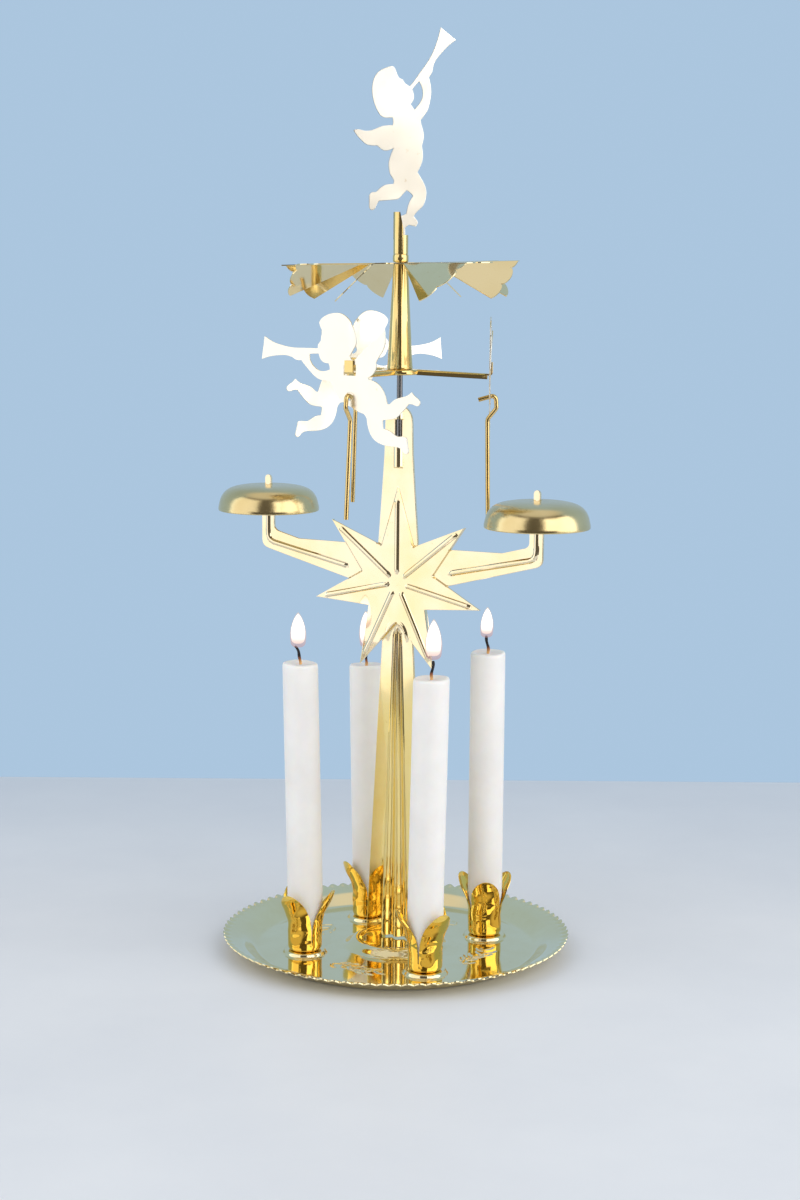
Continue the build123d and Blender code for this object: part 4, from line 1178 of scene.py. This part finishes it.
# ================================================================ figures
FLY = [
    [(34.1, 216.0), (30.6, 214.2), (26.9, 213.2), (23.3, 212.6), (18.2, 212.5), (12.6, 212.5)],
    [(12.6, 212.5), (12.4, 213.9), (11.5, 214.9), (11.3, 216.4), (10.9, 218.0), (11.6, 219.5), (12.1, 221.0)],
    [(12.1, 221.0), (11.4, 222.0), (9.4, 223.3), (6.4, 224.1), (3.9, 224.1), (1.7, 223.2), (-0.3, 221.4), (-1.7, 218.9),
     (-2.5, 216.4), (-2.6, 214.4), (-1.8, 212.9), (-0.8, 211.5), (0.0, 210.3)],
    [(0.0, 210.3), (-0.5, 209.4), (-1.5, 208.8)],
    [(-1.5, 208.8), (-3.3, 210.3), (-5.0, 211.8), (-7.5, 213.9), (-10.2, 215.8), (-12.4, 217.9), (-13.5, 219.0)],
    [(-13.5, 219.0), (-14.0, 217.1), (-13.9, 214.6), (-13.1, 212.5), (-11.4, 210.1), (-10.3, 208.4)],
    [(-10.3, 208.4), (-10.4, 207.2), (-9.7, 205.5), (-8.4, 204.2), (-7.0, 203.4)],
    [(-7.0, 203.4), (-7.2, 202.9)],
    [(-7.2, 202.9), (-8.9, 202.6), (-11.4, 201.4), (-13.1, 199.6), (-14.0, 197.6), (-14.7, 195.3)],
    [(-14.7, 195.3), (-15.6, 195.3)],
    [(-15.6, 195.3), (-17.3, 196.7), (-19.8, 197.6), (-22.2, 198.3), (-23.9, 199.5)],
    [(-23.9, 199.5), (-25.1, 198.2), (-27.0, 196.6), (-27.1, 195.8), (-26.3, 195.1), (-24.4, 195.5), (-22.9, 195.6)],
    [(-22.9, 195.6), (-21.5, 194.1), (-19.8, 192.4), (-17.9, 190.9), (-15.5, 190.3), (-13.3, 190.1)],
    [(-13.3, 190.1), (-12.9, 189.7)],
    [(-12.9, 189.7), (-13.1, 187.2)],
    [(-13.1, 187.2), (-14.5, 187.0), (-16.5, 186.1), (-18.5, 185.0), (-21.2, 185.0), (-22.1, 184.7)],
    [(-22.1, 184.7), (-22.3, 183.3), (-22.7, 181.2), (-22.8, 180.0), (-22.0, 179.4), (-21.2, 179.7), (-20.5, 180.7)],
    [(-20.5, 180.7), (-19.3, 181.3), (-16.6, 181.6), (-14.1, 181.8), (-11.6, 182.4), (-9.1, 184.0), (-7.6, 186.4),
     (-6.9, 188.9), (-6.5, 190.7), (-5.6, 191.7)],
    [(-5.6, 191.7), (-3.6, 192.3), (-1.3, 193.4), (2.0, 194.8), (4.0, 196.4), (6.0, 199.2), (7.1, 201.3)],
    [(7.1, 201.3), (9.1, 201.9), (11.6, 202.3), (14.1, 203.6), (16.4, 205.6), (18.2, 207.3), (19.2, 208.4)],
    [(19.2, 208.4), (21.3, 208.5), (22.8, 209.3)],
    [(22.8, 209.3), (24.9, 209.8), (28.0, 209.8), (31.7, 209.3), (35.2, 208.3)],
    [(35.2, 208.3), (34.1, 216.0)],
]
FLY_HOLE = [
    [(15.9, 210.6), (12.3, 210.8)],
    [(12.3, 210.8), (11.8, 209.5), (11.1, 208.5), (9.5, 207.8), (8.3, 207.7)],
    [(8.3, 207.7), (7.9, 206.7), (7.8, 205.7)],
    [(7.8, 205.7), (9.0, 205.3), (11.8, 205.2), (13.6, 206.1), (15.1, 207.6), (15.9, 209.0)],
    [(15.9, 209.0), (15.9, 210.6)],
]
TOP = [
    [(12.6, 317.6), (17.8, 313.6)],
    [(17.8, 313.6), (15.7, 312.0), (13.3, 309.6), (11.1, 306.8), (10.4, 305.3), (9.9, 303.0), (8.9, 301.3)],
    [(8.9, 301.3), (9.3, 299.7), (9.7, 296.8), (9.3, 293.5), (8.5, 290.6), (7.3, 288.7), (6.2, 287.3)],
    [(6.2, 287.3), (6.5, 285.9), (7.2, 283.5), (7.3, 281.6), (6.7, 278.9)],
    [(6.7, 278.9), (7.1, 276.3), (6.9, 273.9), (6.1, 271.7), (5.4, 270.3)],
    [(5.4, 270.3), (6.6, 268.4), (7.8, 266.2), (8.4, 263.6), (8.0, 260.9), (7.1, 259.0), (5.3, 257.3), (4.3, 255.8)],
    [(4.3, 255.8), (4.9, 255.1), (5.7, 253.7), (5.1, 252.5)],
    [(5.1, 252.5), (2.6, 253.0)],
    [(2.6, 253.0), (1.4, 252.0)],
    [(1.4, 252.0), (1.4, 248.7)],
    [(1.4, 248.7), (-2.3, 248.7)],
    [(-2.3, 248.7), (-2.3, 255.0)],
    [(-2.3, 255.0), (1.7, 256.6)],
    [(1.7, 256.6), (2.2, 259.0), (2.9, 260.9), (3.9, 262.5)],
    [(3.9, 262.5), (2.9, 263.6), (1.8, 264.3)],
    [(1.8, 264.3), (0.4, 262.8), (-0.8, 261.6), (-2.5, 261.2), (-7.4, 260.7)],
    [(-7.4, 260.7), (-8.1, 259.5), (-9.1, 257.9), (-10.1, 257.8), (-10.7, 258.7)],
    [(-10.7, 258.7), (-10.7, 262.6)],
    [(-10.7, 262.6), (-10.1, 263.4), (-8.4, 263.7)],
    [(-8.4, 263.7), (-7.1, 265.0), (-5.4, 266.0), (-2.7, 266.4)],
    [(-2.7, 266.4), (-2.5, 267.2), (-3.5, 269.1), (-4.2, 271.5), (-4.3, 272.9), (-3.8, 275.3), (-3.2, 277.0), (-2.7, 278.0)],
    [(-2.7, 278.0), (-4.4, 277.3), (-5.9, 277.3), (-7.4, 278.2), (-8.1, 278.8)],
    [(-8.1, 278.8), (-9.8, 278.8), (-11.7, 279.2), (-13.5, 280.6), (-15.2, 282.5), (-16.0, 283.7)],
    [(-16.0, 283.7), (-15.2, 284.0), (-12.2, 283.6), (-9.8, 283.9), (-7.1, 285.0), (-3.0, 285.6)],
    [(-3.0, 285.6), (-2.9, 286.7), (-3.1, 288.0)],
    [(-3.1, 288.0), (-6.9, 288.5), (-8.1, 290.1), (-9.3, 293.0), (-9.9, 295.9), (-9.8, 298.7), (-8.8, 301.6), (-6.8, 303.5),
     (-4.9, 304.3), (-3.0, 304.6), (-2.2, 303.6)],
    [(-2.2, 303.6), (-1.6, 302.0), (-0.9, 300.9), (0.2, 300.4), (0.8, 299.4), (1.6, 298.8), (2.5, 298.3)],
    [(2.5, 298.3), (3.4, 299.3), (5.3, 302.0), (7.7, 305.3), (9.7, 308.7), (10.9, 311.5), (11.8, 314.3), (12.6, 317.6)],
]
TOP_HOLE = [
    [(5.7, 299.9), (4.1, 298.2), (3.4, 297.3)],
    [(3.4, 297.3), (3.9, 295.6), (3.8, 294.0), (2.9, 292.5)],
    [(2.9, 292.5), (4.1, 290.7)],
    [(4.1, 290.7), (5.3, 292.1), (6.5, 294.0), (6.9, 295.9), (6.5, 298.2), (5.7, 299.9)],
]


def flying_piece(index, az):
    outer = outline(FLY, 0.4)
    holes = [outline(FLY_HOLE, 0.4, ccw=False), outline([[(-2.3, 204.0), (2.3, 204.0)], [(2.3, 204.0), (2.3, 207.5)], [(2.3, 207.5), (-2.3, 207.5)], [(-2.3, 207.5), (-2.3, 204.0)]], 0.5, ccw=False),
             circle(0, 197.2, 1.4, 30)]
    root_a, root_b = np.array((-1.2, 208.9)), np.array((-7.2, 203.0))
    d = (root_b - root_a) / np.linalg.norm(root_b - root_a)
    nrm = np.array((d[1], -d[0]))
    if np.dot(np.array((-13, 217)) - root_a, nrm) < 0:
        nrm = -nrm

    def height(X, Z):
        s = (X - root_a[0]) * nrm[0] + (Z - root_a[1]) * nrm[1]
        wing = (X < -0.6) & (Z > 202.8) & (s > 0)
        bend = np.where(wing, np.maximum(s - 0.6, 0) * 0.04 * smooth01(s / 2.5), 0.0)
        return bend + 0.05 * np.sin(0.23 * X + 0.17 * Z + index) + 0.04 * np.sin(0.4 * Z - 0.1 * X + 2 * index)

    cp, sp = math.cos(math.radians(FIGURE_PITCH[index])), math.sin(math.radians(FIGURE_PITCH[index]))

    def place(p, z, depth):
        x, y = 30.45 + depth, -(p * cp + (z - 197.2) * sp)
        c, s = math.cos(math.radians(az)), math.sin(math.radians(az))
        return (x * c - y * s, x * s + y * c, 197.2 - ARM_DROOP[index] - p * sp + (z - 197.2) * cp)

    v, f = formed_sheet(outer, holes, 0.5, 0.09, lattice((-28, 179), (36, 225), 1.3), height, place)
    add_object(f"flying_figure_{index + 1}", v, f, FIGURE, "rotor", [f"angel_{index + 1}"], angle=42)


for i, az in enumerate((25.2, 148.5, 265.2)):
    flying_piece(i, az)


def top_piece():
    def wider(segments):
        return [[(x * 1.017 if z > 256.8 else x, z) for x, z in seg] for seg in segments]

    outer = outline(wider(TOP), 0.4)
    holes = [outline(wider(TOP_HOLE), 0.35, ccw=False)]

    def height(X, Z):
        return 0.06 * np.sin(0.16 * Z + 0.1 * X) * smooth01((Z - 258) / 6) + 0.04 * np.sin(0.37 * X - 0.2 * Z) * smooth01((Z - 258) / 6)

    c, s = math.cos(math.radians(38.0)), math.sin(math.radians(38.0))

    def place(x, z, depth):
        y = -depth
        return (x * c - y * s, x * s + y * c, z)

    v, f = formed_sheet(outer, holes, 0.5, 0.09, lattice((-17, 248), (19, 318), 1.5), height, place)
    add_object("top_figure", v, f, FIGURE, "rotor", ["top_angel"], angle=42)


top_piece()


# ================================================================ CAD nodes that stay: their finish
def paint(name, mat):
    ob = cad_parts[name]
    ob.data.materials.clear()
    ob.data.materials.append(mat)


for name in ("striker_1", "striker_2", "striker_3"):
    paint(name, WIRE)
paint("needle", STEEL)
paint("pivot_cup", TURNED)
paint("top_sleeve", TURNED)
paint("holder_rivets", CUPS)


# ================================================================ stage, light, camera
def stage_mesh(name, verts, faces, mat):
    me = bpy.data.meshes.new(name)
    me.from_pydata(verts, [], faces)
    me.materials.append(mat)
    ob = bpy.data.objects.new(name, me)
    scene.collection.objects.link(ob)
    return ob


va = math.radians(VIEW_AZ)
ahead = Vector((-math.sin(va), math.cos(va), 0))
side = Vector((math.cos(va), math.sin(va), 0))

floor_mat, nt, bsdf = new_mat("floor_pale")
n = noise(nt, coords(nt), 9.0, 5.0, 0.6)
tone = ramp(nt, n, [(0.3, (0.73, 0.75, 0.785)), (0.7, (0.79, 0.805, 0.83))])
# painted shade: the floor darkens and turns bluish towards its far edge
along = nt.nodes.new("ShaderNodeVectorMath")
along.operation = "DOT_PRODUCT"
nt.links.new(coords(nt), along.inputs[0])
along.inputs[1].default_value = tuple(ahead)
far_painted_shade = ramp(nt, remap(nt, along.outputs["Value"], 0.0, 1.0), [(0.03, (1, 1, 1)), (0.25, (0.83, 0.89, 0.95))])
mixer = nt.nodes.new("ShaderNodeMix")
mixer.data_type = "RGBA"
mixer.blend_type = "MULTIPLY"
mixer.inputs["Factor"].default_value = 1.0
nt.links.new(tone, mixer.inputs["A"])
nt.links.new(far_painted_shade, mixer.inputs["B"])
nt.links.new(mixer.outputs["Result"], bsdf.inputs["Base Color"])
bsdf.inputs["Roughness"].default_value = 0.55
far, near, wide = 0.2515, 0.36, 3.0
corners = [ahead * far + side * wide, ahead * far - side * 0.40, ahead * -near - side * 0.40, ahead * -near + side * wide]
stage_mesh("floor", [(c.x, c.y, 0.0) for c in corners] + [(c.x, c.y, -0.03) for c in corners],
           [(0, 1, 2, 3), (7, 6, 5, 4), (0, 4, 5, 1), (1, 5, 6, 2), (2, 6, 7, 3), (3, 7, 4, 0)], floor_mat)

# the room: a pale blue wall behind, a light ceiling, and a dim room on the camera's side; lit evenly for the matt surfaces
world = bpy.data.worlds.new("studio")
scene.world = world
world.use_nodes = True
wn = world.node_tree
bg = wn.nodes["Background"]
path = wn.nodes.new("ShaderNodeLightPath")
geo = wn.nodes.new("ShaderNodeTexCoord")


def facing(direction, lo, hi):
    dot = wn.nodes.new("ShaderNodeVectorMath")
    dot.operation = "DOT_PRODUCT"
    wn.links.new(geo.outputs["Generated"], dot.inputs[0])
    dot.inputs[1].default_value = direction
    r = wn.nodes.new("ShaderNodeMapRange")
    r.interpolation_type = "SMOOTHSTEP"
    r.inputs["From Min"].default_value = lo
    r.inputs["From Max"].default_value = hi
    wn.links.new(dot.outputs["Value"], r.inputs["Value"])
    return r.outputs["Result"]


def blend_world(fac, a, b):
    m = wn.nodes.new("ShaderNodeMix")
    m.data_type = "RGBA"
    wn.links.new(fac, m.inputs["Factor"])
    for key, val in (("A", a), ("B", b)):
        if isinstance(val, tuple):
            m.inputs[key].default_value = (*val, 1.0)
        else:
            wn.links.new(val, m.inputs[key])
    return m.outputs["Result"]


WALL = (0.41, 0.565, 0.735)
room = blend_world(facing(tuple(-ahead), -0.10, 0.18), WALL, (0.11, 0.10, 0.085))
room = blend_world(facing((0, 0, 1), 0.80, 0.93), room, (0.78, 0.77, 0.74))
room = blend_world(path.outputs["Is Camera Ray"], room, WALL)
light = blend_world(path.outputs["Is Diffuse Ray"], room, (0.545, 0.575, 0.615))
wn.links.new(light, bg.inputs["Color"])
bg.inputs["Strength"].default_value = 1.0


def area(name, loc, target, size_x, size_y, power, color=(1, 1, 1)):
    li = bpy.data.lights.new(name, "AREA")
    li.shape = "RECTANGLE"
    li.size, li.size_y = size_x, size_y
    li.energy = power
    li.color = color
    ob = bpy.data.objects.new(name, li)
    scene.collection.objects.link(ob)
    ob.location = loc
    ob.rotation_mode = "QUATERNION"
    ob.rotation_quaternion = (Vector(target) - Vector(loc)).to_track_quat("-Z", "Y")
    ob.visible_camera = False
    return ob


def at_view(az, dist, z):
    """A point at an azimuth counted from the camera's side, positive to the photo's right."""
    a = math.radians(VIEW_AZ + az)
    return Vector((math.sin(a) * dist, -math.cos(a) * dist, z))


def panel(name, az, dist, width, low, high, radiance):
    mid = (low + high) / 2
    area(name, at_view(az, dist, mid), (0, 0, mid), width, high - low, radiance * math.pi * width * (high - low), (1.0, 0.985, 0.955))


panel("window_left", -69.3, 0.74, 0.764, -0.30, 1.05, 1.14)
panel("window_left_inner", -34.7, 0.74, 0.19, 0.26, 1.05, 1.14)
panel("window_right", 65.7, 0.98, 0.86, 0.02, 1.15, 1.95)
panel("window_right_inner", 28.3, 0.98, 0.478, 0.26, 1.15, 1.95)

cam = bpy.data.cameras.new("camera")
cam_ob = bpy.data.objects.new("camera", cam)
scene.collection.objects.link(cam_ob)
cam.sensor_width = 36.0
cam.lens = 2227.0 / 1200.0 * 36.0
cam.shift_x = 1.8 / 1200.0
cam.clip_start, cam.clip_end = 0.01, 20
cam_ob.location = (0.755 * math.sin(va), -0.755 * math.cos(va), 0.242 - LIFT * MM)
pitch = math.radians(8.73)
look = ahead * math.cos(pitch) + Vector((0, 0, -math.sin(pitch)))
quat = look.to_track_quat("-Z", "Y")
roll = Matrix.Rotation(math.radians(-0.42), 4, look)
cam_ob.rotation_mode = "QUATERNION"
cam_ob.rotation_quaternion = (roll @ quat.to_matrix().to_4x4()).to_quaternion()
scene.camera = cam_ob
scene.view_settings.view_transform = "Standard"
scene.view_settings.look = "None"

bpy.context.view_layer.update()
